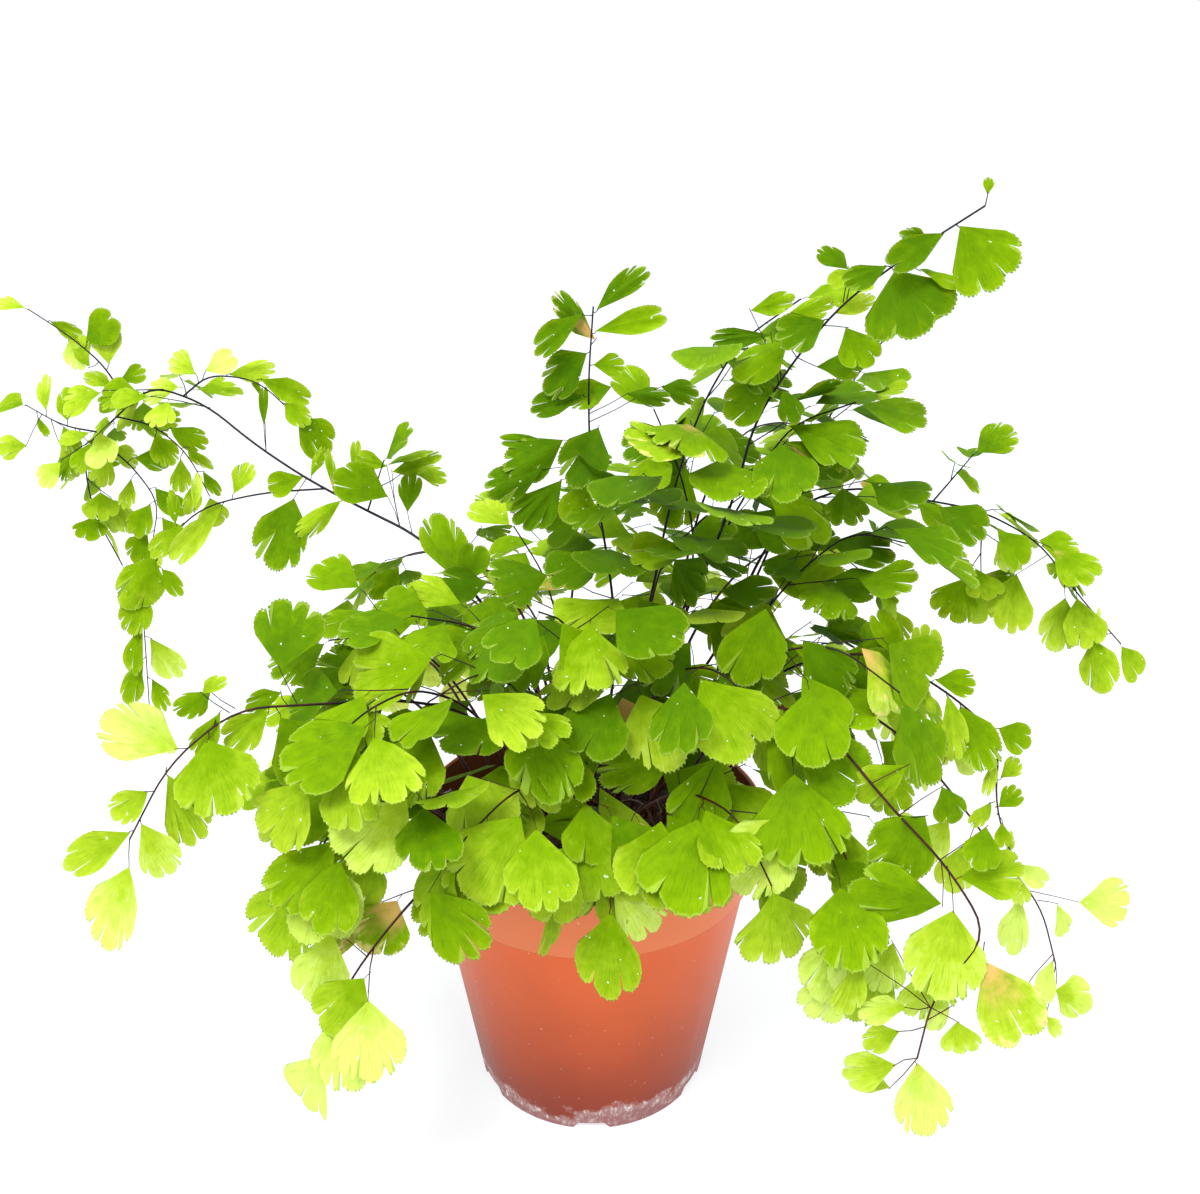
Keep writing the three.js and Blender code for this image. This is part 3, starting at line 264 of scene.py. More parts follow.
# One row for each frond, in the order of the CAD source: root is an arm and a socket of the
# rhizome, route the way of the stem in millimetres, leafFrom its bare share, leafTo the share
# after which no leaflets come by themselves, twigs the number of side twigs, reach the longest
# of them, leaf the length of a leaflet. held rows are leaflets on a stalk of their own: share
# of the stem, length and turn of the stalk, turn, length and width of the leaflet. arms are
# long side branches, each from the share at of the stem. One without twigs has held leaflets.
fronds = [
    dict(name="left_arch", root=(3, 1), leafFrom=0.62, twigs=9, reach=24, leaf=15, tilt=0.8,
         route=[(-18, 8, 145), (-46, 22, 184), (-60, 30, 194), (-85, 40, 203), (-107, 50, 212),
         (-124, 57, 222), (-140, 64, 233), (-156, 70, 237), (-166, 74, 236), (-175, 77, 226),
         (-186, 80, 218), (-194, 82, 208), (-195, 84, 190), (-191, 84, 175), (-186, 84, 163)],
         held=[(0.5, 9, 212, 193, 27, 20), (0.45, 2, -120, -125, 20, 8),
         (0.5, 2, -60, -108, 14, 9), (0.495, 2, 10, 20, 12, 4), (0.465, 2, 0, -10, 16, 4),
         (0.44, 10, 10, 0, 13, 4), (0.38, 12, -20, -72, 20, 16), (0.38, 20, -8, 68, 18, 8),
         (0.38, 22, -12, -75, 12, 7), (0.365, 8, -12, 10, 14, 9), (0.28, 6, -60, -25, 24, 18),
         (0.27, 6, -40, 20, 14, 11), (0.555, 20, -4, -25, 10, 3), (0.555, 10, 0, 3, 14, 3.5)],
         arms=[
             dict(at=0.76, leaf=14, route=[(-174, 76, 240),
                  (-185, 78, 248), (-193, 80, 256), (-205, 82, 263)],
                  held=[(0.12, 4, -60, -70, 12, 7), (0.3, 3, 20, -5, 14, 13),
                  (0.38, 5, -120, -35, 14, 9), (0.52, 3, 30, 52, 15, 14),
                  (0.66, 2, 150, 165, 12, 9), (0.84, 2, 100, 110, 12, 7),
                  (0.2, 3, 80, 60, 10, 8)]),
             dict(at=0.815, leaf=14, route=[(-198, 84, 218),
                  (-208, 88, 223), (-216, 90, 226)], held=[(0.45, 3, 5, -5, 14, 8),
                  (0.72, 3, 0, -5, 15, 6), (0.6, 5, 120, 145, 13, 9), (0.85, 3, 170, 150, 9, 4),
                  (0.78, 16, 190, -100, 11, 10), (0.66, 12, 160, 150, 13, 10),
                  (0.3, 6, 150, 110, 12, 5), (0.35, 13, 165, 95, 12, 5)]),
             dict(at=0.785, leaf=14, route=[(-160, 72, 222),
                  (-152, 70, 217), (-146, 68, 206), (-142, 66, 197)],
                  held=[(0.2, 3, 60, 85, 13, 8), (0.4, 4, 70, 110, 15, 11),
                  (0.35, 4, 190, 150, 13, 10), (0.6, 3, 80, 130, 12, 5),
                  (0.62, 4, 200, 190, 13, 9), (0.8, 3, 90, 145, 11, 5),
                  (0.85, 4, 220, 200, 12, 8)]),
             dict(at=0.825, leaf=14, route=[(-176, 76, 209),
                  (-167, 73, 200), (-163, 72, 189), (-168, 72, 177)],
                  held=[(0.15, 4, 190, 210, 12, 10), (0.3, 4, 60, 100, 13, 8),
                  (0.4, 4, 220, 200, 12, 9), (0.55, 3, 80, 130, 15, 10),
                  (0.65, 4, -120, 205, 14, 10), (0.8, 3, 90, 150, 14, 10),
                  (0.9, 4, -120, 200, 13, 12)]),
             dict(at=0.672, leaf=16, route=[(-139, 60, 242),
                  (-126, 58, 245), (-113, 56, 240), (-104, 54, 230)],
                  held=[(0.2, 4, -20, -42, 12, 11), (0.25, 4, 20, 62, 12, 9),
                  (0.45, 2, 60, 74, 16, 9), (0.66, 2, 80, 112, 18, 8),
                  (0.85, 3, 120, 130, 12, 8)]),
             dict(at=0.475, leaf=19, route=[(-114, 48, 204),
                  (-131, 48, 202), (-146, 50, 194), (-158, 52, 181), (-167, 54, 165),
                  (-170, 55, 146), (-170, 55, 127), (-172, 55, 114)],
                  held=[(0.25, 3, 20, 35, 13, 9), (0.36, 2, 0, 2, 14, 4),
                  (0.27, 3, 200, -136, 28, 9), (0.4, 2, -120, -130, 17, 10),
                  (0.43, 3, -20, -10, 13, 5), (0.52, 3, -130, -146, 24, 17),
                  (0.62, 3, 200, 200, 19, 12), (0.72, 3, 190, 190, 21, 8),
                  (0.84, 3, 210, 206, 19, 10), (0.78, 3, 110, 142, 19, 12),
                  (0.9, 3, 120, 155, 14, 9), (0.56, 4, 120, 150, 12, 8)]),
             dict(at=0.42, twigs=1, reach=14, leaf=15, route=[(-78, 34, 212), (-70, 32, 220)]),
         ]),
    dict(name="lower_left", root=(4, 2), leafFrom=0.36, leafTo=0.6, twigs=3, reach=26, leaf=24,
         tilt=0.9, tip=0, route=[(-29, -20, 141), (-43, -32, 160), (-59, -42, 167),
         (-82, -56, 172), (-98, -66, 176), (-110, -74, 170), (-119, -80, 156), (-125, -83, 145)],
         held=[(0.655, 12.4, -26, -3, 20.6, 24), (0.67, 5, -25, -117, 12, 7),
         (0.69, 4.2, 155, 158, 24, 22), (0.7, 2, 185, -127, 15.5, 12),
         (0.75, 9, -55, -117, 12, 9), (0.76, 10, -50, 59, 8, 5), (0.79, 5, 26, -142, 15, 8.5),
         (0.8, 3.6, 180, 158, 22, 23), (0.84, 3.4, -95, -76, 23.5, 20),
         (0.88, 2.8, 170, 168, 22.5, 15.5), (0.92, 2.5, -90, -128, 12.5, 9),
         (0.965, 2.1, 170, 162, 17, 13.5), (0.985, 1.8, -120, -121, 21.5, 11.5),
         (1, 8.2, 181, -168, 23, 21)]),
    dict(name="front_left", root=(4, 4), leafFrom=0.34, twigs=3, reach=20, leaf=22, tilt=0.9,
         route=[(-27, -40, 130), (-40, -66, 127), (-54, -80, 118), (-64, -88, 107),
         (-73, -92, 95), (-76, -94, 82)], held=[(0.77, 12.8, -54, 190, 22, 18)]),
    dict(name="tall_right", root=(0, 0), leafFrom=0.42, leafTo=0.7, twigs=5, reach=38, leaf=24,
         tilt=0.6, tip=0, route=[(20, 0, 149), (32, -5, 187), (43, -10, 213), (46, -14, 238),
         (53, -18, 253), (58, -22, 264), (69, -30, 281), (80, -36, 291), (93, -44, 303),
         (99, -48, 307)], held=[(1, 3.5, 12, 15, 5, 3.5), (0.966, 1.8, 120, 148, 19, 23),
         (0.955, 1.8, -140, -120, 16, 8), (0.935, 2, -60, -80, 7, 4),
         (0.886, 2, 130, 148, 19, 28), (0.9, 6, 130, 100, 16, 8), (0.886, 2, -80, -105, 12, 8),
         (0.82, 10, 8, -60, 10, 7), (0.825, 9, 12, -123, 8, 5), (0.8, 2, 60, 68, 12, 5),
         (0.795, 2, -110, -110, 15, 13), (0.785, 7, 95, 140, 13, 13), (0.695, 15, -9, -87, 18, 8),
         (0.7, 17, -4, 62, 18, 8), (0.705, 22, -26, 70, 14, 7), (0.69, 2, -90, -125, 16, 14),
         (0.735, 6, -30, -124, 19, 11), (0.69, 3, 110, 160, 10, 8), (0.735, 7, 115, 85, 14, 8)]),
    dict(name="upright", root=(2, 0), leafFrom=0.44, leafTo=0.72, twigs=5, reach=30, leaf=21,
         tilt=0.8, tip=0, route=[(8, 8, 149), (7, 10, 181), (4, 10, 202), (0, 8, 227),
         (-1, 6, 246), (1, 4, 268), (1, 4, 275)], held=[(0.99, 2, 60, 51, 21, 8.5),
         (0.955, 2, 60, 75, 23, 8), (0.935, 3, 40, -41, 19, 9), (0.985, 4, -80, -132, 19, 9),
         (0.925, 2, -120, -138, 18, 14), (0.9, 2, 80, 98, 10, 8), (0.82, 11, 42, -110, 15, 9),
         (0.845, 2, -60, -104, 18, 8), (0.815, 14, 62, 95, 14, 6), (0.8, 26, 64, 100, 13, 8),
         (0.715, 16, -58, -86, 17, 5), (0.71, 9, -60, 95, 13, 6), (0.7, 4, -120, 195, 15, 12),
         (0.77, 9, -93, 240, 22, 14), (0.73, 16.6, -101, 250, 20, 12),
         (0.75, 8.4, 23, 200, 22, 16), (0.7, 11, -97, 230, 22, 16)]),
    dict(name="right_trail", root=(0, 4), leafFrom=0.42, twigs=9, reach=26, leaf=18, tilt=0.9,
         route=[(51, 20, 174), (72, 34, 205), (94, 42, 208), (118, 44, 202), (148, 42, 196),
         (164, 38, 182), (176, 34, 166), (189, 30, 153)], held=[(0.84, 14, -122, 185, 22, 18),
         (0.88, 8, 180, 190, 20, 16), (0.98, 8, -108, 170, 20, 14)],
         arms=[
             dict(at=0.66, twigs=1, reach=12, leaf=14, route=[(124, 44, 210), (133, 44, 219)]),
             dict(at=0.73, twigs=2, reach=12, leaf=16, route=[(139, 44, 188), (141, 44, 172)]),
         ]),
    dict(name="lower_right", root=(6, 3), leafFrom=0.36, leafTo=0.46, twigs=2, reach=30, leaf=24,
         tilt=0.9, tip=0, route=[(39, -40, 156), (55, -50, 171), (68, -62, 166), (79, -74, 155),
         (95, -86, 141), (105, -92, 132), (108, -96, 124), (101, -98, 113), (91, -100, 103),
         (91, -100, 85)], held=[(0.57, 12, 63, -130, 17, 12), (0.62, 8, 90, 215, 21, 20),
         (0.69, 13, 178, -84, 25, 17), (0.7, 13, 172, 190, 25, 22), (0.72, 2, 60, 84, 18, 13),
         (0.69, 16, 48, 187, 12, 11), (0.62, 15, 56, 152, 12, 10), (0.81, 6, 180, 157, 24, 19),
         (0.92, 24, -55, 205, 17, 10), (0.92, 20, -29, 200, 16, 13), (0.92, 7, -90, -100, 14, 9),
         (0.95, 8, -100, -120, 11, 10), (0.94, 8, 60, 215, 9, 6), (0.92, 9, 118, 178, 9, 12),
         (1, 7, -108, -100, 15, 11), (1, 2, 180, 172, 21, 16), (1, 20, 198, -80, 13, 7),
         (0.89, 7.8, -8, 170, 22, 20)]),
    dict(name="far_right", root=(6, 5), leafFrom=0.42, leafTo=0.56, twigs=3, reach=24, leaf=21,
         tilt=0.8, tip=0, route=[(62, -10, 151), (93, -20, 149), (114, -30, 129), (131, -36, 108),
         (141, -40, 98), (148, -42, 86), (151, -44, 72)], held=[(0.81, 3, 60, 125, 12, 7),
         (0.8, 4, 10, 5, 7, 3.5), (0.835, 6, 180, 182, 21, 10), (0.88, 7, 100, 165, 13, 7),
         (0.86, 17, 103, 100, 17, 19), (0.985, 2, 190, 195, 16, 8), (1, 9, 180, 118, 15, 14),
         (1, 18, 190, 150, 8, 6), (0.98, 26, -140, 200, 10, 7), (0.66, 9, 190, 200, 16, 14),
         (0.72, 9, -150, 190, 16, 13), (0.62, 9, 30, 110, 14, 10)]),
    dict(name="right_mid", root=(6, 1), leafFrom=0.36, leafTo=0.56, twigs=4, reach=26, leaf=22,
         tilt=0.7, tip=0, route=[(51, -14, 156), (80, -26, 176), (95, -32, 173), (112, -36, 164),
         (123, -38, 157), (125, -40, 145), (124, -41, 132), (131, -42, 120), (134, -43, 108)],
         held=[(0.645, 2, 60, 103, 14, 10), (0.63, 3, 0, 2, 14, 10), (0.67, 2, 180, 180, 20, 9.5),
         (0.695, 2, 170, 155, 22, 13), (0.76, 3, 80, 125, 12, 11), (0.81, 2, -110, 197, 12, 5),
         (0.845, 2, 60, 62, 9, 8), (0.89, 2, 80, 55, 9, 8), (0.88, 2, -100, -140, 10, 7),
         (0.9, 4, 150, 178, 8, 5), (0.62, 3, 190, 148, 12, 5), (0.6, 2, -20, -28, 18, 8),
         (0.53, 10, 190, 98, 19, 9), (0.5, 3, 60, 97, 20, 10), (1, 3, 160, 170, 10, 7)]),
    dict(name="right_back", root=(1, 3), leafFrom=0.45, twigs=6, reach=38, leaf=19, tilt=0.45,
         route=[(34, 18, 140), (50, 14, 171), (63, 16, 204), (73, 22, 230), (85, 24, 249),
         (93, 22, 262)]),
    dict(name="top_middle", root=(1, 0), leafFrom=0.5, twigs=6, reach=40, leaf=22, tilt=0.5,
         route=[(12, 14, 140), (20, 12, 177), (26, 10, 213), (34, 6, 243), (45, 2, 265),
         (62, -2, 278)]),
    dict(name="centre_back", root=(1, 2), leafFrom=0.4, twigs=6, reach=38, leaf=21, tilt=0.4,
         route=[(26, 20, 145), (34, 20, 174), (35, 26, 197), (30, 30, 217), (21, 34, 237)],
         held=[(0.91, 8.5, -51, 170, 24, 18), (0.89, 7.8, 133, 200, 22, 18)]),
    dict(name="middle_right", root=(0, 1), leafFrom=0.5, twigs=6, reach=36, leaf=22, tilt=0.5,
         route=[(24, 2, 150), (34, 4, 184), (50, 0, 220), (62, -6, 243), (78, -14, 250)],
         held=[(0.49, 8, 90, 160, 24, 22)]),
    dict(name="right_shoulder", root=(0, 3), leafFrom=0.42, twigs=6, reach=36, leaf=22, tilt=0.6,
         route=[(40, 2, 145), (54, 0, 174), (71, 4, 194), (86, 4, 205), (104, 2, 200)],
         held=[(0.66, 8, -130, 200, 24, 22)]),
    dict(name="right_blades", root=(6, 2), leafFrom=0.42, twigs=5, reach=34, leaf=25, tilt=0.8,
         droop=0.8, route=[(28, -22, 140), (40, -30, 164), (58, -42, 186), (74, -50, 187),
         (88, -56, 176)], held=[(0.82, 8, -84, 150, 22, 20), (0.56, 8, 7, 190, 24, 22),
         (0.7, 14, -14, 205, 24, 22)]),
    dict(name="front_hang", root=(5, 3), leafFrom=0.32, twigs=2, reach=16, leaf=26, tilt=1.1,
         tip=0, droop=0.8, route=[(0, -42, 130), (4, -62, 140), (5, -74, 134), (6, -82, 122)],
         held=[(0.4, 10, 17, 150, 24, 20), (0.36, 18, -98, 95, 20, 18),
         (0.85, 2, 60, 117, 17, 16), (0.88, 2, -100, -130, 19, 16), (1, 2, 180, 175, 25, 21)]),
    dict(name="left_mid", root=(3, 3), leafFrom=0.4, twigs=4, reach=34, leaf=21, tilt=0.6,
         route=[(-40, -2, 145), (-54, -12, 170), (-68, -20, 182), (-80, -26, 179)]),
    dict(name="left_low", root=(4, 3), leafFrom=0.42, twigs=5, reach=28, leaf=24, tilt=0.9,
         route=[(-42, -42, 132), (-49, -56, 149), (-62, -66, 152), (-73, -72, 141),
         (-81, -76, 127)]),
    dict(name="left_inner", root=(4, 1), leafFrom=0.42, twigs=5, reach=34, leaf=24, tilt=0.9,
         route=[(-28, -24, 142), (-40, -40, 166), (-54, -58, 178), (-66, -72, 174),
         (-76, -78, 162)]),
    dict(name="back_left_top", root=(2, 1), leafFrom=0.42, twigs=4, reach=36, leaf=19, tilt=0.4,
         route=[(-9, 18, 152), (-14, 26, 172), (-19, 32, 188), (-27, 34, 196)]),
    dict(name="centre_left", root=(3, 0), leafFrom=0.32, twigs=6, reach=32, leaf=22, tilt=0.6,
         route=[(-19, -4, 150), (-31, -14, 174), (-42, -22, 186), (-54, -28, 188)]),
    dict(name="far_back", root=(2, 4), leafFrom=0.45, twigs=4, reach=30, leaf=16, tilt=-0.2,
         route=[(-18, 60, 140), (-29, 85, 150), (-42, 105, 148), (-59, 120, 140)]),
    dict(name="front_left_blades", root=(5, 1), leafFrom=0.32, twigs=5, reach=30, leaf=26, tilt=1,
         droop=0.8, route=[(-6, -40, 135), (-14, -60, 150), (-25, -74, 152), (-36, -82, 142)],
         held=[(0.75, 14, -8, 147, 24, 16), (0.78, 15, -73, 165, 22, 22),
         (1, 15, 212, 145, 23, 21)]),
    dict(name="front_right_low", root=(5, 4), leafFrom=0.32, twigs=5, reach=30, leaf=26, tilt=1,
         droop=0.8, route=[(19, -50, 138), (34, -68, 150), (44, -80, 146), (50, -86, 132)],
         held=[(0.66, 13.5, 24, -150, 24, 21), (0.58, 12, -5, -113, 26, 16),
         (0.48, 9.5, 150, 150, 20, 17), (0.85, 14, 75, -140, 26, 22)]),
    dict(name="front_top", root=(5, 0), leafFrom=0.3, twigs=7, reach=34, leaf=24, tilt=0.8,
         droop=0.8, route=[(0, -20, 149), (-5, -32, 180), (-9, -44, 197), (-14, -54, 200)]),
    dict(name="front_right_mid", root=(6, 0), leafFrom=0.32, twigs=6, reach=34, leaf=26, tilt=0.8,
         droop=0.8, route=[(16, -22, 150), (27, -38, 177), (39, -50, 180), (50, -58, 170)],
         held=[(0.76, 8.4, -9, 220, 20, 18)]),
    dict(name="right_low", root=(6, 4), leafFrom=0.42, twigs=5, reach=28, leaf=24, tilt=0.9,
         droop=0.8, route=[(46, -42, 132), (61, -60, 142), (73, -74, 136), (77, -80, 118)],
         held=[(1, 12.7, 141, 200, 24, 20), (1, 18, 182, 220, 22, 18),
         (0.99, 8, -132, 190, 24, 20)]),
    dict(name="front_mid_left", root=(4, 0), leafFrom=0.32, twigs=6, reach=34, leaf=26, tilt=0.8,
         droop=0.8, route=[(-14, -24, 147), (-24, -40, 172), (-34, -54, 182), (-45, -62, 176)]),
    dict(name="centre_mid", root=(1, 1), leafFrom=0.3, twigs=7, reach=34, leaf=23, tilt=0.4,
         route=[(18, 8, 159), (20, 0, 185), (26, -6, 205), (36, -10, 214)]),
    dict(name="front_small", root=(5, 5), leafFrom=0.5, twigs=3, reach=18, leaf=20, tilt=1.1,
         droop=0.8, route=[(-8, -56, 126), (-12, -70, 128), (-16, -78, 118)],
         held=[(0.7, 6, -80, -125, 17, 14)]),
    dict(name="front_right_small", root=(5, 2), leafFrom=0.5, twigs=3, reach=18, leaf=23, tilt=1,
         droop=0.8, route=[(12, -42, 135), (19, -60, 138), (22, -72, 126)]),
    dict(name="left_side", root=(4, 5), leafFrom=0.42, twigs=2, reach=26, leaf=21, tilt=0.7,
         route=[(-54, -28, 124), (-68, -36, 132), (-80, -42, 126), (-88, -46, 112)]),
    dict(name="back_right_low", root=(1, 5), leafFrom=0.4, twigs=3, reach=34, leaf=19, tilt=-0.7,
         route=[(28, 60, 146), (38, 90, 160), (48, 118, 148), (54, 138, 124)]),
    dict(name="back_left_low", root=(2, 5), leafFrom=0.4, twigs=3, reach=34, leaf=19, tilt=-0.7,
         route=[(-24, 58, 136), (-42, 86, 140), (-56, 110, 122), (-62, 124, 98)]),
    dict(name="back_middle", root=(2, 3), leafFrom=0.42, twigs=4, reach=38, leaf=19, tilt=-0.3,
         route=[(-8, 48, 160), (-2, 80, 182), (6, 108, 180), (14, 132, 162)]),
    dict(name="back_right", root=(1, 4), leafFrom=0.45, twigs=4, reach=32, leaf=19, tilt=-0.3,
         route=[(40, 48, 155), (72, 74, 176), (103, 92, 163), (122, 103, 139)]),
    dict(name="back_left", root=(2, 2), leafFrom=0.45, twigs=4, reach=30, leaf=18, tilt=-0.2,
         route=[(-24, 42, 158), (-50, 72, 172), (-78, 92, 164), (-102, 104, 142)]),
    dict(name="right_side", root=(0, 5), leafFrom=0.42, twigs=3, reach=30, leaf=19, tilt=0.1,
         route=[(60, 25, 136), (92, 42, 144), (118, 54, 126), (132, 60, 102)]),
    dict(name="left_side_back", root=(3, 5), leafFrom=0.42, twigs=3, reach=30, leaf=19, tilt=0.1,
         route=[(-60, 22, 132), (-84, 34, 138), (-102, 44, 122), (-110, 48, 102)]),
    dict(name="back_shoulder", root=(0, 2), leafFrom=0.5, twigs=4, reach=36, leaf=20, tilt=0.2,
         route=[(30, 26, 170), (44, 52, 212), (66, 76, 224), (90, 92, 212)]),
    dict(name="left_shoulder", root=(3, 2), leafFrom=0.5, twigs=3, reach=34, leaf=19, tilt=0.2,
         route=[(-28, 28, 150), (-46, 58, 160), (-66, 84, 156), (-86, 104, 134)]),
    dict(name="left_back_low", root=(3, 4), leafFrom=0.42, twigs=3, reach=28, leaf=19, tilt=-0.2,
         route=[(-48, 34, 128), (-68, 62, 136), (-86, 84, 118), (-94, 94, 94)]),
]

bladeTries = [
    (0, 0, 1), (0.25, 0.3, 1), (-0.25, -0.3, 1), (0.1, 0.7, 0.94), (-0.1, -0.7, 0.94),
    (0.45, 0.2, 0.86), (-0.45, -0.2, 0.86), (0.2, 1.1, 0.78), (-0.2, -1.1, 0.78), (0, 0.4, 0.66),
]  # swing, roll, size
heldTries = [(depth, roll, size) for depth in (0, -0.3, 0.3, -0.6, 0.6, 0.9)
             for roll, size in ((0, 1), (0.35, 1), (-0.35, 1), (0.7, 0.95), (-0.7, 0.95), (0, 0.8))]
twigTries = [
    (0, 0, 1), (0.25, 0.15, 0.95), (-0.25, -0.15, 0.95), (0.1, 0.4, 0.85), (-0.1, -0.4, 0.85),
    (0.5, 0, 0.7), (-0.4, 0.2, 0.6),
]  # turn, lift, size


# a number from 0 to 1 that the keys settle, the same as in the CAD source
def chance(*keys):
    phase = 1 + sum(key * (12.9898 + 7.31 * i) for i, key in enumerate(keys))
    wave = math.sin(phase) * 43758.5453
    return wave - math.floor(wave)


def between(low, high, *keys):
    return low + (high - low) * chance(*keys)


def smoothStations(points, step):
    fine = []
    last = len(points) - 1
    for i in range(last):
        a, b, c, d = (points[min(max(i + k, 0), last)] for k in (-1, 0, 1, 2))
        for k in range(growth["fineSteps"]):
            t = k / growth["fineSteps"]
            fine.append(b + (c - a) * 0.5 * t + (2 * a - 5 * b + 4 * c - d) * 0.5 * t * t
                        + (d - a + 3 * b - 3 * c) * 0.5 * t ** 3)
    fine.append(points[-1].copy())
    total = sum((q - p).length for p, q in zip(fine, fine[1:]))
    count = math.ceil(total / step)
    stations = [fine[0]]
    walked = 0
    for p, q in zip(fine, fine[1:]):
        stretch = (q - p).length
        while len(stations) < count and walked + stretch >= len(stations) * total / count:
            stations.append(p.lerp(q, (len(stations) * total / count - walked) / stretch))
        walked += stretch
    return stations + [fine[-1]]


def pointAlong(stations, share):
    place = min(max(share, 0), 1) * (len(stations) - 1)
    before = min(math.floor(place), len(stations) - 2)
    return stations[before].lerp(stations[before + 1], place - before)


def directionAlong(stations, share):
    before = math.floor(min(max(share, 0), 0.999) * (len(stations) - 1))
    return (stations[before + 1] - stations[before]).normalized()


def lengthOf(stations):
    return sum((q - p).length for p, q in zip(stations, stations[1:]))


def upperSide(along):
    side = up - along * along.z
    if side.length < 0.15:
        side += Vector((0, -0.3, 0))
    return (side - along * side.dot(along)).normalized()


def armWay(arm):
    angle = math.radians(rhizome["firstAngle"] + 360 / rhizome["arms"] * arm)
    return Vector((math.cos(angle), math.sin(angle), 0))


def rootPoint(arm, socket):
    reach = rhizome["firstSocket"] + rhizome["socketStep"] * socket
    z = rhizome["height"] + rhizome["radius"] - rhizome["socketDepth"]
    return armWay(arm) * reach + up * z


def poseBlade(stem, spot, attempt):
    swing, roll, size = attempt
    along = directionAlong(stem["stations"], spot["share"])
    face = upperSide(along)
    across = along.cross(face)
    spread = spot["spread"] + swing
    way = along * math.cos(spread) + across * math.sin(spread) * spot["side"] + up * spot["rise"]
    way.normalize()
    look = Vector((spot["leanX"], spot["leanY"] - stem["tilt"], 1)).normalized()
    look += face * growth["facing"]
    look = (look - way * look.dot(way)).normalized()
    look = Matrix.Rotation(roll, 3, way) @ look
    apex = pointAlong(stem["stations"], spot["share"])
    if not spot["side"]:
        apex = apex - along * growth["endBite"]
    length = spot["length"] * size
    return {"apex": apex, "way": way, "look": look, "length": length,
            "half": length * spot["width"] / 2, "held": False}


def bladeSpot(stem, share, side, length, *keys):
    names = ("spread" if side else "tipSpread", "rise", "leanX", "leanY", "width", "length")
    spread, rise, leanX, leanY, width, size = (
        between(*growth[name], *keys, draw) for draw, name in enumerate(names, 1))
    return {"share": share, "side": side, "spread": spread, "rise": rise - stem["droop"],
            "leanX": leanX, "leanY": leanY, "width": width, "length": length * size}


# The CAD frond holds each leaflet that found room: tip and shoulders are corners of the solid.
def isMade(blade, corners):
    shoulder = blade["apex"] + blade["way"] * blade["length"] * growth["shoulder"]
    shoulder += blade["look"] * growth["thickness"]
    half = blade["way"].cross(blade["look"]) * blade["half"]
    tip = blade["apex"] + blade["way"] * blade["length"]
    found = [corners.find(point)[2] < growth["tolerance"]
             for point in (tip, shoulder + half, shoulder - half)]
    return found[0] and (found[1] or found[2])


def grownBlade(stem, spot, corners):
    for attempt in bladeTries:
        blade = poseBlade(stem, spot, attempt)
        if isMade(blade, corners):
            return blade
    return None


# The way of something turned so many degrees clockwise from upwards, seen from the front.
def seenWay(turn, depth):
    angle = math.radians(turn)
    way = seenUp * math.cos(angle) + seenRight * math.sin(angle) + seenAway * depth
    return way.normalized()


def grownHeld(stem, row, number, corners):
    share, stalk, stalkTurn, turn, length, width = row
    start = pointAlong(stem["stations"], share)
    lean = between(*growth["heldLean"], stem["frond"], number, 1)
    for depth, roll, size in heldTries:
        stalkWay = seenWay(stalkTurn, depth)
        end = start + stalkWay * stalk * mm
        way = seenWay(turn, depth * 0.5 + lean * 0.6)
        look = seenRight * lean - seenAway
        look = (look - way * look.dot(way)).normalized()
        blade = {"apex": end - stalkWay * growth["endBite"], "way": way,
                 "look": Matrix.Rotation(roll, 3, way) @ look, "length": length * mm,
                 "half": width * mm / 2 * size, "held": True}
        if isMade(blade, corners):
            return dict(stem, id=number, kind="stalkRadius", stations=[start, end]), blade
    return None


def grownTwig(stem, share, side, reach, number, corners):
    keys = (stem["frond"], number)
    start = pointAlong(stem["stations"], share)
    along = directionAlong(stem["stations"], share)
    face = upperSide(along)
    across = along.cross(face)
    for turn, lift, size in twigTries:
        angle = between(*growth["twigSpread"], *keys, 1) + turn
        way = along * (math.cos(angle) + growth["twigForward"]) + across * side * math.sin(angle)
        way += face * between(*growth["twigRise"], *keys, 2)
        way += up * (lift - growth["twigSag"])
        way.normalize()
        twig = dict(stem, id=number, kind="twigRadius")
        twig["stations"] = [start, start + way * reach * size]
        twig["end"] = grownBlade(twig, bladeSpot(twig, 1, 0, stem["leaf"], *keys, 9), corners)
        if twig["end"]:
            return twig
    return None


def grownBlades(stem, low, high, corners):
    keys = (stem["frond"], stem["id"])
    stretch = (high - low) * lengthOf(stem["stations"])
    count = max(1, math.floor(stretch / (growth["spacing"] * stem["leaf"]) + 0.5))
    blades = []
    for i in range(count):
        share = low + (high - low) * (i + 0.5) / count
        side = 1 if (i + stem["id"]) % 2 else -1
        spot = bladeSpot(stem, share, side, stem["leaf"], *keys, 20 + i)
        blade = grownBlade(stem, spot, corners)
        if blade:
            blades.append(blade)
    return blades


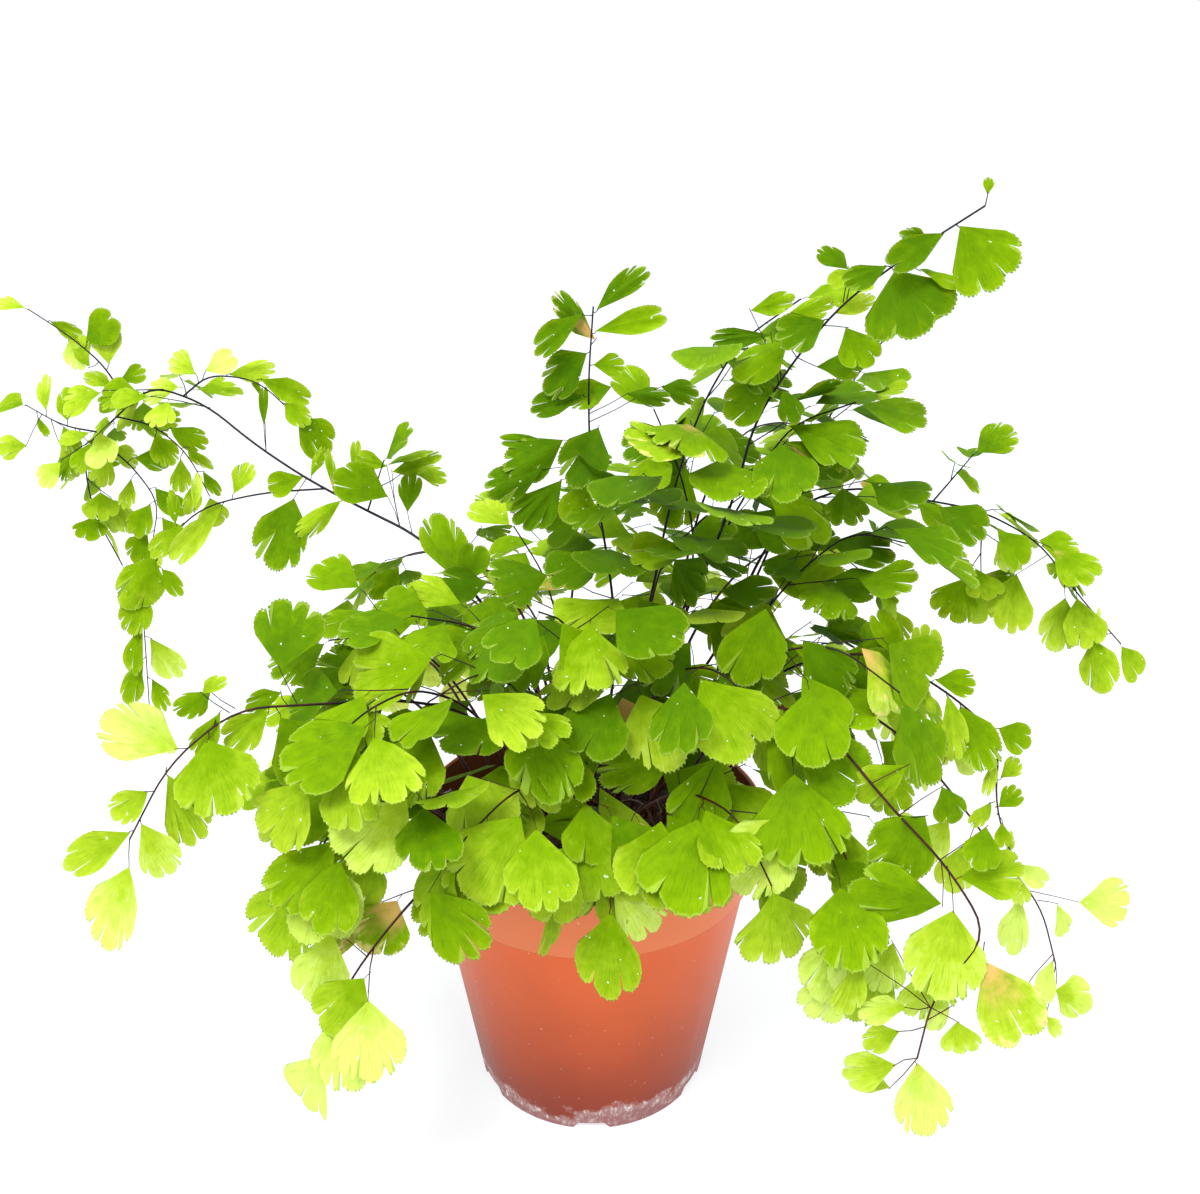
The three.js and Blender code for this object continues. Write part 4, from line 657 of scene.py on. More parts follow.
def grownFoliage(stem, corners):
    keys = (stem["frond"], stem["id"])
    stems, blades = [stem], []
    if stem["tip"]:
        blades.append(grownBlade(stem, bladeSpot(stem, 1, 0, stem["leaf"], *keys, 3), corners))
    for i, row in enumerate(stem["held"]):
        found = grownHeld(stem, row, stem["id"] + growth["heldIds"] + i, corners)
        if found:
            stems.append(found[0])
            blades.append(found[1])
    low = stem["leafFrom"]
    high = low + (stem["leafTo"] - low) * growth["twigZone"]
    for i in range(stem["twigs"]):
        share = low + (high - low) * (i + 0.5) / stem["twigs"]
        reach = stem["reach"] * (1 - growth["twigShrink"] * i / stem["twigs"])
        reach *= between(*growth["twigReach"], *keys, 40 + i)
        side = 1 if i % 2 else -1
        twig = grownTwig(stem, share, side, reach, stem["id"] + i + 1, corners)
        if twig:
            stems.append(twig)
            blades += [twig["end"]] + grownBlades(twig, *growth["twigLeaves"], corners)
    low = high if stem["twigs"] else low
    blades += grownBlades(stem, low, stem["leafTo"] * growth["lastLeaf"], corners)
    return stems, [blade for blade in blades if blade]


def routePoints(route):
    return [Vector(point) * mm for point in route]


def grownFrond(frond, index):
    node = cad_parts["frond_" + frond["name"]]
    corners = KDTree(len(node.data.vertices))
    for i, vertex in enumerate(node.data.vertices):
        corners.insert(vertex.co, i)
    corners.balance()
    main = {"frond": index, "id": 0, "leaf": frond["leaf"] * mm, "tilt": frond["tilt"],
            "leafFrom": frond["leafFrom"], "leafTo": frond.get("leafTo", 1),
            "twigs": frond["twigs"], "reach": frond["reach"] * mm, "tip": frond.get("tip", 1),
            "droop": frond.get("droop", growth["droop"]), "held": frond.get("held", []),
            "kind": "mainRadius"}
    points = [rootPoint(*frond["root"])] + routePoints(frond["route"])
    main["stations"] = smoothStations(points, growth["stemStep"])
    mains = [main]
    for k, arm in enumerate(frond.get("arms", [])):
        start = pointAlong(main["stations"], arm["at"])
        stations = smoothStations([start] + routePoints(arm["route"]), growth["stemStep"])
        twigs = arm.get("twigs", 0)
        mains.append(dict(main, id=growth["armIds"] * (k + 1), stations=stations,
                          leaf=arm["leaf"] * mm, leafFrom=growth["armLeavesFrom"],
                          leafTo=1 if twigs else growth["bareArmLeavesTo"],
                          twigs=twigs, reach=arm.get("reach", 0) * mm, tip=1,
                          held=arm.get("held", []), kind="armRadius"))
    stems, blades = [], []
    for stem in mains:
        moreStems, moreBlades = grownFoliage(stem, corners)
        stems += moreStems
        blades += moreBlades
    return stems, blades


# leaflets

leafShape = {
    "kinds": 24,
    "columns": 12,
    "marginCuts": 4,
    "lobes": [2, 3, 3, 4, 4, 5, 5, 6],
    "notch": (0.06, 0.16),
    "slits": [0, 0, 1, 1, 2],
    "slit": (0.18, 0.4),
    "widens": 0.12,  # cuts deeper than this open a little
    "bulge": (0.07, 0.14),
    "tooth": (0.01, 0.017),
    "halfAngle": (42, 58),  # degrees
    "lean": (-14, 14),
    "cup": (-0.5, 0.7),
    "cupDepth": 0.25,
    "droop": (-0.05, 0.3),
    "ripple": (0.008, 0.03),
    "waves": (1.5, 4),
    "innerRing": 0.46,  # share of the way out to the margin
    "shoulder": (0.64, 0.8),  # reach of the two sides, as a share of the reach in the middle
    "roundness": (2.4, 3.8),
    "stalk": 0.12,  # bare part of a leaflet that sits on a twig, as a share of its length
    "stalkBite": 0.2,  # how far that stalk runs into the blade
    "stalkRadius": 0.13 * mm,
    "stalkTaper": 0.7,
    "spill": 1.08,  # how far the lobes of such a leaflet reach, compared with the CAD's kite
    "thickness": 0.008,
}


def fanOutline(dice):
    # how far the margin reaches at each of its points, as a share of the smooth fan
    shape = leafShape
    columns, fine = shape["columns"], shape["marginCuts"] + 1
    lobes = dice.choice(shape["lobes"])
    cuts = {}
    for k in range(1, lobes):
        column = round(columns * k / lobes + dice.uniform(-0.8, 0.8))
        cuts[fine * min(max(column, 1), columns - 1)] = dice.uniform(*shape["notch"])
    slits = dice.choice(shape["slits"])
    for index in dice.sample(sorted(cuts), min(slits, len(cuts))):
        cuts[index] = dice.uniform(*shape["slit"])
    edges = sorted([0, *cuts, columns * fine])
    bulge = dice.uniform(*shape["bulge"])
    tooth = dice.uniform(*shape["tooth"])
    reach = []
    for i in range(columns * fine + 1):
        low = max(edge for edge in edges if edge <= min(i, columns * fine - 1))
        high = min(edge for edge in edges if edge > low)
        place = 2 * (i - low) / (high - low) - 1
        reach.append(1 - bulge * abs(place) ** 3 + tooth * (-1) ** i - cuts.get(i, 0))
    return reach, [index for index, depth in cuts.items() if depth > shape["widens"]]


def addLayers(whole):
    for name in ("tone", "wilt"):
        whole.verts.layers.float.new(name)
    whole.loops.layers.uv.new("fan")


def fanTemplate(seed):
    # a leaflet of length 1 and half width 1, its base at the origin
    dice = random.Random(seed)
    shape = leafShape
    reach, openCuts = fanOutline(dice)
    halfAngle = math.radians(dice.uniform(*shape["halfAngle"]))
    shoulder, roundness = (dice.uniform(*shape[name]) for name in ("shoulder", "roundness"))
    lean = math.radians(dice.uniform(*shape["lean"]))
    cup, droop, ripple, waves = (
        dice.uniform(*shape[name]) for name in ("cup", "droop", "ripple", "waves"))
    sheet = bmesh.new()
    addLayers(sheet)
    bmesh.ops.create_grid(sheet, x_segments=shape["columns"], y_segments=2, size=0.5, calc_uvs=True)
    margin = [edge for edge in sheet.edges if all(vert.co.y > 0.49 for vert in edge.verts)]
    bmesh.ops.subdivide_edges(sheet, edges=margin, cuts=shape["marginCuts"])
    spread = len(reach) - 1
    for vert in sheet.verts:
        across = 2 * vert.co.x
        outward = vert.co.y + 0.5
        radius = 1 - (1 - shoulder) * abs(across) ** roundness
        angle = across * halfAngle + lean
        if outward > 0.99:
            index = round((across + 1) / 2 * spread)
            radius *= reach[index]
            if index + 1 in openCuts:
                angle += halfAngle / spread
            if index - 1 in openCuts:
                angle -= halfAngle / spread
        elif outward > 0.1:
            radius *= shape["innerRing"]
        else:
            radius = 0
        vert.co = Vector((radius * math.sin(angle), radius * math.cos(angle), outward * across))
    wide = max(abs(vert.co.x) for vert in sheet.verts)
    tall = max(vert.co.y for vert in sheet.verts)
    for vert in sheet.verts:
        x, y, wave = vert.co.x / wide, vert.co.y / tall, vert.co.z
        z = -cup * shape["cupDepth"] * x * x - droop * y * y
        z += ripple * math.sin(waves * wave * math.pi + seed)
        vert.co = Vector((x, y, z))
    bmesh.ops.remove_doubles(sheet, verts=sheet.verts, dist=1e-4)
    for edge in sheet.edges:
        edge.smooth = not edge.is_boundary
    for face in sheet.faces:
        face.smooth = True
    whole = sheet.verts[:] + sheet.edges[:] + sheet.faces[:]
    under = bmesh.ops.duplicate(sheet, geom=whole)["geom"]
    bmesh.ops.reverse_faces(sheet, faces=partsOf(under, bmesh.types.BMFace))
    inner = [vert for vert in partsOf(under, bmesh.types.BMVert) if not vert.is_boundary]
    bmesh.ops.translate(sheet, verts=inner, vec=(0, 0, -shape["thickness"]))
    bmesh.ops.remove_doubles(sheet, verts=sheet.verts, dist=1e-5)
    return sheet


def partsOf(geometry, kind):
    return [part for part in geometry if isinstance(part, kind)]


# stems

stemShape = {
    "mainRadius": (0.7 * mm, 0.26 * mm),  # at the root and at the tip
    "armRadius": (0.36 * mm, 0.2 * mm),
    "twigRadius": (0.24 * mm, 0.15 * mm),
    "stalkRadius": (0.17 * mm, 0.12 * mm),
    "taper": 0.8,
    "rounding": 0.42,  # of a stretch, on either side of a bend
    "bendSteps": 5,
    "kink": 0.55 * mm,  # of twigs and stalks
    "kinkEvery": 9 * mm,
    "stipeSides": 7,
    "twigSides": 5,
}


def roundedPath(stations):
    path = [stations[0]]
    for before, here, after in zip(stations, stations[1:], stations[2:]):
        start = here.lerp(before, stemShape["rounding"])
        end = here.lerp(after, stemShape["rounding"])
        for i in range(stemShape["bendSteps"] + 1):
            t = i / stemShape["bendSteps"]
            path.append(start.lerp(here, t).lerp(here.lerp(end, t), t))
    return path + [stations[-1]]


def tubeMesh(path, radii, sides):
    # one closed tapering tube: a disc, extruded from ring to ring
    tube = bmesh.new()
    disc = bmesh.ops.create_circle(tube, cap_ends=True, radius=1, segments=sides)["verts"]
    cap = disc[0].link_faces[0]
    side = (path[1] - path[0]).orthogonal().normalized()
    before = Matrix.Identity(4)
    for i, point in enumerate(path):
        along = (path[min(i + 1, len(path) - 1)] - path[max(i - 1, 0)]).normalized()
        side = (side - along * side.dot(along)).normalized()
        over = along.cross(side)
        ring = Matrix((side, over, along)).transposed().to_4x4() @ Matrix.Scale(radii[i], 4)
        ring.translation = point
        if i == 0:
            verts = disc
        else:
            made = bmesh.ops.extrude_face_region(tube, geom=[cap])["geom"]
            verts = partsOf(made, bmesh.types.BMVert)
            cap = partsOf(made, bmesh.types.BMFace)[0]
        bmesh.ops.transform(tube, matrix=ring @ before.inverted(), verts=verts)
        before = ring
    bmesh.ops.recalc_face_normals(tube, faces=tube.faces)
    for face in tube.faces:
        face.smooth = len(face.verts) == 4
        face.material_index = 1
    return tube


def joinInto(whole, part):
    scratch = bpy.data.meshes.new("scratch")
    part.to_mesh(scratch)
    whole.from_mesh(scratch)
    bpy.data.meshes.remove(scratch)
    part.free()


def stemTube(stem):
    shape = stemShape
    low, high = shape[stem["kind"]]
    if stem["kind"] in ("twigRadius", "stalkRadius"):
        start, end = stem["stations"]
        dice = random.Random(stem["frond"] * 1000 + stem["id"])
        count = max(2, round((end - start).length / shape["kinkEvery"]))
        path = [start.lerp(end, i / count) for i in range(count + 1)]
        for i in range(1, count):
            path[i] = path[i] + Vector(dice.uniform(-1, 1) for _ in range(3)) * shape["kink"]
        sides = shape["twigSides"]
    else:
        path = roundedPath(stem["stations"])
        sides = shape["stipeSides"]
    steps = len(path) - 1
    radii = [low + (high - low) * (i / steps) ** shape["taper"] for i in range(steps + 1)]
    return tubeMesh(path, radii, sides)


# the fern

crown = {
    "shadeAndLightSpots": [  # painted shade and painted light: place, reach in metres, and how much darker (painted shade) or paler (painted light) the leaflets are there
        ((0.045, 0.0, 0.21), 0.085, -0.26),
        ((-0.07, 0.0, 0.165), 0.05, -0.16),
        ((0.014, 0.005, 0.25), 0.04, -0.12),
        ((0.105, -0.035, 0.155), 0.045, 0.14),
        ((-0.12, -0.08, 0.155), 0.045, 0.1),
    ],
    "tone": 0.48,
    # painted light: leaflets low down and far out, and all far-out ones, are painted paler, where
    # more light reaches them
    "paleBelow": (0.15, 0.07),  # heights
    "paleBeyond": (0.03, 0.12),  # distances from the middle
    "paintedLightLow": 0.46,
    "paleTips": (0.08, 0.2),
    "paintedLightOut": 0.08,
    "mix": 0.15,
    "darkest": (-0.2, 0.1),  # by chance, and in all
    "wiltRarity": 24,
    "scorched": (0.106, -0.098, 0.117),
    "scorchedReach": 6 * mm,
    "scorchedWilt": 0.82,
    # where leaflets are shed, so that the front of the rim stays open, in millimetres
    "rimGaps": [(-31, -80, 110), (-18, -84, 108), (-27, -71, 113), (-17, -72, 118),
                (24, -78, 113), (26, -71, 122)],
    "gapReach": 5 * mm,
}


def smoothRise(value, low, high):
    share = min(max((value - low) / (high - low), 0), 1)
    return share * share * (3 - 2 * share)


def middleOf(blade):
    return blade["apex"] + blade["way"] * blade["length"] / 2


def toneOf(blade, dice):
    middle = middleOf(blade)
    out = math.hypot(middle.x, middle.y)
    high, low = crown["paleBelow"]
    lowShare = smoothRise(-middle.z, -high, -low)
    wideShare = smoothRise(out, *crown["paleBeyond"])
    tipShare = smoothRise(out, *crown["paleTips"])
    luck = max(dice.gauss(0, crown["mix"]), crown["darkest"][0])
    # painted light: paler low and far out
    tone = crown["tone"] + crown["paintedLightLow"] * lowShare * wideShare
    tone += crown["paintedLightOut"] * tipShare
    tone += luck
    # painted shade in the middle of the crown and painted light at some of its sides
    for place, reach, change in crown["shadeAndLightSpots"]:
        tone += change * math.exp(-((middle - Vector(place)).length / reach) ** 2)
    return min(max(tone, crown["darkest"][1]), 1)


def wiltOf(blade, dice):
    wilt = dice.random() ** crown["wiltRarity"]
    if (blade["apex"] - Vector(crown["scorched"])).length < crown["scorchedReach"]:
        wilt = crown["scorchedWilt"]
    return wilt


def isShed(blade):
    return any((middleOf(blade) - Vector(gap) * mm).length < crown["gapReach"]
               for gap in crown["rimGaps"])


def addBlade(whole, blade, templates, dice):
    shape = leafShape
    leaf = dice.choice(templates).copy()
    way, look = blade["way"], blade["look"]
    bare = 0 if blade["held"] else shape["stalk"] * blade["length"]
    length = blade["length"] * (1 if blade["held"] else shape["spill"]) - bare
    base = blade["apex"] + way * bare
    turn = Matrix((way.cross(look), way, look)).transposed().to_4x4()
    half = blade["half"] * shape["spill"]
    place = Matrix.Translation(base) @ turn @ Matrix.Diagonal((half, length, length, 1))
    bmesh.ops.transform(leaf, matrix=place, verts=leaf.verts)
    if bare:
        path = [blade["apex"], base + way * bare * shape["stalkBite"]]
        radii = [shape["stalkRadius"], shape["stalkRadius"] * shape["stalkTaper"]]
        joinInto(whole, tubeMesh(path, radii, 3))
    for name, value in (("tone", toneOf(blade, dice)), ("wilt", wiltOf(blade, dice))):
        layer = leaf.verts.layers.float[name]
        for vert in leaf.verts:
            vert[layer] = value
    joinInto(whole, leaf)


def meshObject(name, whole):
    mesh = bpy.data.meshes.new(name)
    whole.to_mesh(mesh)
    whole.free()
    thing = bpy.data.objects.new(name, mesh)
    scene.collection.objects.link(thing)
    return thing


def finishedPiece(name, whole, finishes, node):
    piece = meshObject(name, whole)
    for finish in finishes:
        piece.data.materials.append(finish)
    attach(piece, "root")
    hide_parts(node)
    return piece


def makeFern(leafFinish, stemFinish):
    templates = [fanTemplate(seed) for seed in range(leafShape["kinds"])]
    stemCount = bladeCount = 0
    for index, frond in enumerate(fronds):
        stems, blades = grownFrond(frond, index)
        dice = random.Random(index)
        whole = bmesh.new()
        addLayers(whole)
        for blade in blades:
            if not isShed(blade):
                addBlade(whole, blade, templates, dice)
        for stem in stems:
            joinInto(whole, stemTube(stem))
        finishedPiece("fern_" + frond["name"], whole, [leafFinish, stemFinish],
                      "frond_" + frond["name"])
        stemCount += len(stems)
        bladeCount += len(blades)
    for template in templates:
        template.free()
    print("fern:", len(fronds), "fronds,", stemCount, "stems and twigs,", bladeCount, "leaflets")


# pot

potShape = {
    "steps": 120,
    "bandHeight": 22 * mm,
    "bandRadius": 56.5 * mm,
    "bandStep": 1.5 * mm,
    "lip": 1.6 * mm,  # its width and its height
    "lipStep": (0.7 * mm, 2.2 * mm),  # inwards and downwards
    "baseRadius": 41.5 * mm,
    "wall": 1.4 * mm,
    "ringWidth": (1.9 * mm, 2.6 * mm),  # of the foot ring, at the ground and above
    "floorLift": 3 * mm,
    "floor": 1.6 * mm,
    "footRadius": 12 * mm,
    "footSlope": 1.2 * mm,
    "notches": 6,
    "notchWidth": 11 * mm,
    "notchHeight": 2.2 * mm,
    "drains": 6,
    "drainRadius": 3.5 * mm,
    "drainCircle": 27 * mm,
    "softness": 0.45 * mm,
    "softAbove": 28,  # degrees
}

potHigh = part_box("pot")[1]
potTop, potRim = potHigh.z, potHigh.x
bandFoot = potTop - potShape["bandHeight"]


def spun(profile, steps):
    body = bmesh.new()
    verts = [body.verts.new((radius, 0, z)) for radius, z in profile]
    edges = [body.edges.new(pair) for pair in zip(verts, verts[1:])]
    bmesh.ops.spin(body, geom=verts + edges, axis=(0, 0, 1), cent=(0, 0, 0),
                   angle=2 * math.pi, steps=steps, use_merge=True)
    bmesh.ops.remove_doubles(body, verts=body.verts, dist=1e-6)
    bmesh.ops.recalc_face_normals(body, faces=body.faces)
    return body


def wallRadius(z):
    base = potShape["baseRadius"]
    top = potShape["bandRadius"] - potShape["bandStep"]
    return base + (top - base) * z / bandFoot


def potInside():
    shape = potShape
    floorTop = shape["floorLift"] + shape["floor"]
    return [
        (potRim - shape["lip"], potTop),
        (shape["bandRadius"] - shape["wall"], bandFoot + mm),
        (wallRadius(bandFoot) - shape["wall"], bandFoot - mm),
        (wallRadius(floorTop) - shape["wall"], floorTop),
        (shape["footRadius"] - 0.2 * mm, floorTop),
        (shape["footRadius"] - 0.2 * mm - shape["footSlope"], shape["floor"]),
        (0, shape["floor"]),
    ]


def makePot(finish):
    shape = potShape
    base, foot = shape["baseRadius"], shape["footRadius"]
    ringFoot, ringTop = shape["ringWidth"]
    stepIn, stepDown = shape["lipStep"]
    outside = [
        (0, 0), (foot, 0), (foot + shape["footSlope"], shape["floorLift"]),
        (base - ringTop, shape["floorLift"]), (base - ringFoot, 0), (base, 0),
        (wallRadius(bandFoot), bandFoot), (shape["bandRadius"], bandFoot),
        (potRim - stepIn, potTop - stepDown), (potRim, potTop - shape["lip"]), (potRim, potTop),
    ]
    body = spun(outside + potInside(), shape["steps"])
    halfNotch = shape["notchWidth"] / 2 / base
    for vert in body.verts:
        turn = math.atan2(vert.co.y, vert.co.x) * shape["notches"] / (2 * math.pi) - 0.5
        offset = abs(turn - round(turn)) * 2 * math.pi / shape["notches"]
        isRing = vert.co.z < 0.1 * mm and vert.co.xy.length > base - 3 * mm
        if isRing and offset < halfNotch:
            vert.co.z = shape["notchHeight"]
    for face in body.faces:
        face.smooth = True
    piece = finishedPiece("nursery_pot", body, [finish], "pot")
    cutDrains(piece)
    bevel = piece.modifiers.new("softEdges", "BEVEL")
    bevel.width = shape["softness"]
    bevel.segments = 2
    bevel.limit_method = "ANGLE"
    bevel.angle_limit = math.radians(shape["softAbove"])
    bevel.harden_normals = True
    print("pot: done")


def cutDrains(piece):
    shape = potShape
    cutters = bmesh.new()
    for i in range(shape["drains"]):
        made = bmesh.ops.create_cone(cutters, cap_ends=True, segments=24, depth=12 * mm,
                                     radius1=shape["drainRadius"], radius2=shape["drainRadius"])
        turn = Matrix.Rotation(2 * math.pi * i / shape["drains"], 4, "Z")
        place = turn @ Matrix.Translation((shape["drainCircle"], 0, shape["floorLift"]))
        bmesh.ops.transform(cutters, matrix=place, verts=made["verts"])
    tool = meshObject("drainCutters", cutters)
    cut = piece.modifiers.new("drains", "BOOLEAN")
    cut.object = tool
    cut.operation = "DIFFERENCE"
    cut.solver = "EXACT"
    bpy.context.view_layer.update()
    graph = bpy.context.evaluated_depsgraph_get()
    drained = bpy.data.meshes.new_from_object(piece.evaluated_get(graph))
    piece.modifiers.remove(cut)
    piece.data = drained
    bpy.data.objects.remove(tool)


# soil and rhizome

soilShape = {
    "steps": 72,
    "rings": 22,
    "sink": 1.1 * mm,  # of the middle level, under the top of the CAD soil
    "gap": 0.3 * mm,  # between the pot's inner face and the soil
    "lump": 1.3 * mm,
    "lumpScale": 90,
    "crumbs": 420,
    "crumbSize": (0.5 * mm, 1.9 * mm),
    "crumbMargin": 3 * mm,
}

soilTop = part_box("soil")[1].z - soilShape["sink"]


def soilLevel(x, y):
    rough = noise.fractal(Vector((x, y, 0)) * soilShape["lumpScale"], 1.0, 2.0, 4)
    return soilTop + soilShape["lump"] * rough


def makeSoil(finish):
    shape = soilShape
    gap = shape["gap"]
    inside = [(max(radius - gap, 0), z + gap) for radius, z in reversed(potInside())]
    below, above = inside[-2:]
    share = (soilTop - below[1]) / (above[1] - below[1])
    edge = below[0] + (above[0] - below[0]) * share
    surface = [(edge * (1 - i / shape["rings"]), soilTop) for i in range(shape["rings"] + 1)]
    body = spun(inside[:-1] + surface, shape["steps"])
    for vert in body.verts:
        if vert.co.z > soilTop - 0.1 * mm and vert.co.xy.length < edge * 0.98:
            vert.co.z = soilLevel(vert.co.x, vert.co.y)
    dice = random.Random(5)
    for _ in range(shape["crumbs"]):
        reach = (edge - shape["crumbMargin"]) * math.sqrt(dice.random())
        angle = dice.uniform(0, 2 * math.pi)
        x, y = reach * math.cos(angle), reach * math.sin(angle)
        size = dice.uniform(*shape["crumbSize"]) * dice.uniform(0.4, 1)
        made = bmesh.ops.create_icosphere(body, subdivisions=1, radius=size)["verts"]
        for vert in made:
            vert.co *= dice.uniform(0.7, 1.15)
        turn = Matrix.Rotation(dice.uniform(0, 6), 4, "X") @ Matrix.Rotation(angle, 4, "Z")
        place = Matrix.Translation((x, y, soilLevel(x, y) + 0.2 * size)) @ turn
        bmesh.ops.transform(body, matrix=place, verts=made)
    for face in body.faces:
        face.smooth = face.calc_center_median().z > soilTop - 3 * mm
    finishedPiece("potting_soil", body, [finish], "soil")
    print("soil: done")


stubs = [(4, 40, 15, 0.75), (5, 22, 12, 0.3), (0, 22, 14, 0), (2, 40, 12, 0.6),
         (6, 40, 10, 0.8), (3, 28, 13, 0.3), (1, 28, 11, 0)]  # arm, reach, height, lean, in mm

rhizomeShape = {
    "rings": 16,
    "sides": 12,
    "slimmer": 0.93,  # than the CAD's arm, to leave room for the scales
    "swelling": 0.07,
    "roughness": 0.35 * mm,
    "hubHeight": 0.72,  # of its width
    "scales": 46,  # on each arm
    "scaleSize": 1.5 * mm,
    "scaleWidth": (0.32, 0.03),  # at its foot and at its point, as a share of its length
    "stubRadius": 1.1 * mm,
    "stubTaper": [(0, 1.05), (0.3, 1), (0.6, 0.86), (0.85, 0.84), (1, 0.8)],
    "stubSides": 9,
}


def addScales(whole, arm, dice):
    way = armWay(arm)
    across = up.cross(way)
    for _ in range(rhizomeShape["scales"]):
        reach = rhizome["length"] * dice.uniform(0.05, 0.97)
        angle = dice.uniform(-0.2, math.pi + 0.2)
        outward = across * math.cos(angle) + up * math.sin(angle)
        radius = rhizome["radius"] * dice.uniform(0.86, 0.94)
        foot = way * reach + up * rhizome["height"] + outward * radius
        lean = (outward + way * dice.uniform(0.7, 1.6)).normalized()
        size = rhizomeShape["scaleSize"] * dice.uniform(0.6, 1.3)
        low, high = (size * share for share in rhizomeShape["scaleWidth"])
        made = bmesh.ops.create_cone(whole, cap_ends=True, segments=4, radius1=low,
                                     radius2=high, depth=size)["verts"]
        turn = lean.to_track_quat("Z", "Y").to_matrix().to_4x4()
        place = Matrix.Translation(foot + lean * size * 0.4) @ turn
        bmesh.ops.transform(whole, matrix=place, verts=made)


def makeRhizome(barkFinish, stubFinish):
    shape = rhizomeShape
    whole = bmesh.new()
    dice = random.Random(11)
    noise.seed_set(11)  # the noise vectors would otherwise start from the clock
    bmesh.ops.create_uvsphere(whole, u_segments=20, v_segments=12, radius=rhizome["hub"])
    lift = Matrix.Translation((0, 0, rhizome["height"]))
    flat = Matrix.Diagonal((1, 1, shape["hubHeight"], 1))
    bmesh.ops.transform(whole, matrix=lift @ flat, verts=whole.verts)
    for arm in range(rhizome["arms"]):
        path, radii = [], []
        for i in range(shape["rings"] + 1):
            share = i / shape["rings"]
            path.append(armWay(arm) * rhizome["length"] * share + up * rhizome["height"])
            bulb = 1 + shape["swelling"] * math.sin(share * 19 + arm)
            blunt = math.sqrt(1 - 0.75 * share ** 8)
            radii.append(rhizome["radius"] * shape["slimmer"] * bulb * blunt)
        tube = tubeMesh(path, radii, shape["sides"])
        for vert in tube.verts:
            vert.co += noise.noise_vector(vert.co * 400) * shape["roughness"]
        for face in tube.faces:
            face.material_index = 0
        joinInto(whole, tube)
        addScales(whole, arm, dice)
    for arm, reach, height, lean in stubs:
        foot = armWay(arm) * reach * mm + up * rhizome["height"]
        way = (armWay(arm) * lean + up).normalized()
        length = rhizome["radius"] + height * mm
        path = [foot + way * length * share for share, _ in shape["stubTaper"]]
        radii = [shape["stubRadius"] * width for _, width in shape["stubTaper"]]
        joinInto(whole, tubeMesh(path, radii, shape["stubSides"]))
    for face in whole.faces:
        if face.material_index == 0:
            face.smooth = True
    finishedPiece("creeping_rhizome", whole, [barkFinish, stubFinish], "rhizome")
    print("rhizome: done")


# finishes

leafLook = {
    "greens": ((0.0, (0.048, 0.13, 0.0005)), (0.25, (0.09, 0.2, 0.0005)),
               (0.5, (0.19, 0.34, 0.001)), (0.75, (0.38, 0.54, 0.022)), (1.0, (0.62, 0.8, 0.15))),
    "patchScale": 260,
    "patchChange": 0.34,
    "outwardChange": 0.36,
    "veins": (85, 3.2, 1),  # streaks across, outwards and through the fan
    "veinColour": (0.02, 0.13, 0.004),
    "veinShare": 0.3,
    # painted light: a thin pale band along the margin, where the thin edge is lit from behind
    "margin": (0.62, 0.8, 0.15),
    "litMarginShare": 0.2,
    "straw": (0.75, 0.66, 0.22),
    "brown": (0.2, 0.09, 0.03),
    "blush": (0.8, 0.42, 0.16),
    # water drops, painted as pale specks: a painted glint
    "drop": (0.85, 0.95, 0.75),
    "dropScale": 620,
    "glow": 0.12,  # how much light goes through a blade
    "glowReach": (0.9, 1.0, 0.2),
    "glowScale": 0.0003,
    "relief": 0.00012,
}


def leafFinish():
    look = leafLook
    finish = Finish("fernLeaf")
    tone = finish.attribute("tone")
    wilt = finish.attribute("wilt")
    fan = finish.node("ShaderNodeUVMap", {"uv_map": "fan"})
    _, outward, _ = finish.parts(fan)
    place = finish.place()
    patches = finish.noise(place, look["patchScale"], 3, 0.6)
    shade = tone + (patches - 0.5) * look["patchChange"]
    shade = shade + (outward - 0.55) * tone * look["outwardChange"]
    green = finish.ramp(shade, *look["greens"])
    veins = finish.rise(finish.noise(finish.mapped(fan, look["veins"]), 1.0, 2, 0.5), 0.5, 0.72)
    veined = finish.blend(green, look["veinColour"], veins * look["veinShare"])
    # painted light along the margin
    margin = finish.rise(outward, 0.965, 1.0)
    edged = finish.blend(veined, look["margin"], margin * look["litMarginShare"])
    tips = finish.rise(outward + (patches - 0.5) * 0.9 + wilt * 0.6, 1.42, 1.6)
    strawy = finish.blend(edged, look["straw"], tips * 0.85)
    burnt = finish.rise(outward + (patches - 0.5) * 0.7 + wilt * 0.5, 1.5, 1.62)
    tipped = finish.blend(strawy, look["brown"], burnt * 0.9)
    blush = finish.rise(wilt - outward * 0.6 + (patches - 0.5) * 0.5, 0.35, 0.85)
    flushed = finish.blend(tipped, look["blush"], blush * 0.8)
    # painted glint: pale specks of water drops
    dropGlints = finish.rise(finish.noise(place, look["dropScale"], 1, 0.4), 0.78, 0.8)
    finish.set(Base_Color=finish.blend(flushed, look["drop"], dropGlints * 0.6),
               Roughness=0.48 + patches * 0.16, Specular_IOR_Level=0.03,
               Subsurface_Weight=look["glow"], Subsurface_Radius=look["glowReach"],
               Subsurface_Scale=look["glowScale"])
    finish.bump(veins * 0.6 + patches * 0.4, look["relief"], 0.5)
    return finish.material


stemLook = {
    "black": (0.008, 0.006, 0.008),
    "russet": (0.075, 0.014, 0.008),
    "russetBelow": 0.21,  # height
    "blotchScale": 120,
    "grainScale": 2400,
    "relief": 0.0001,
}


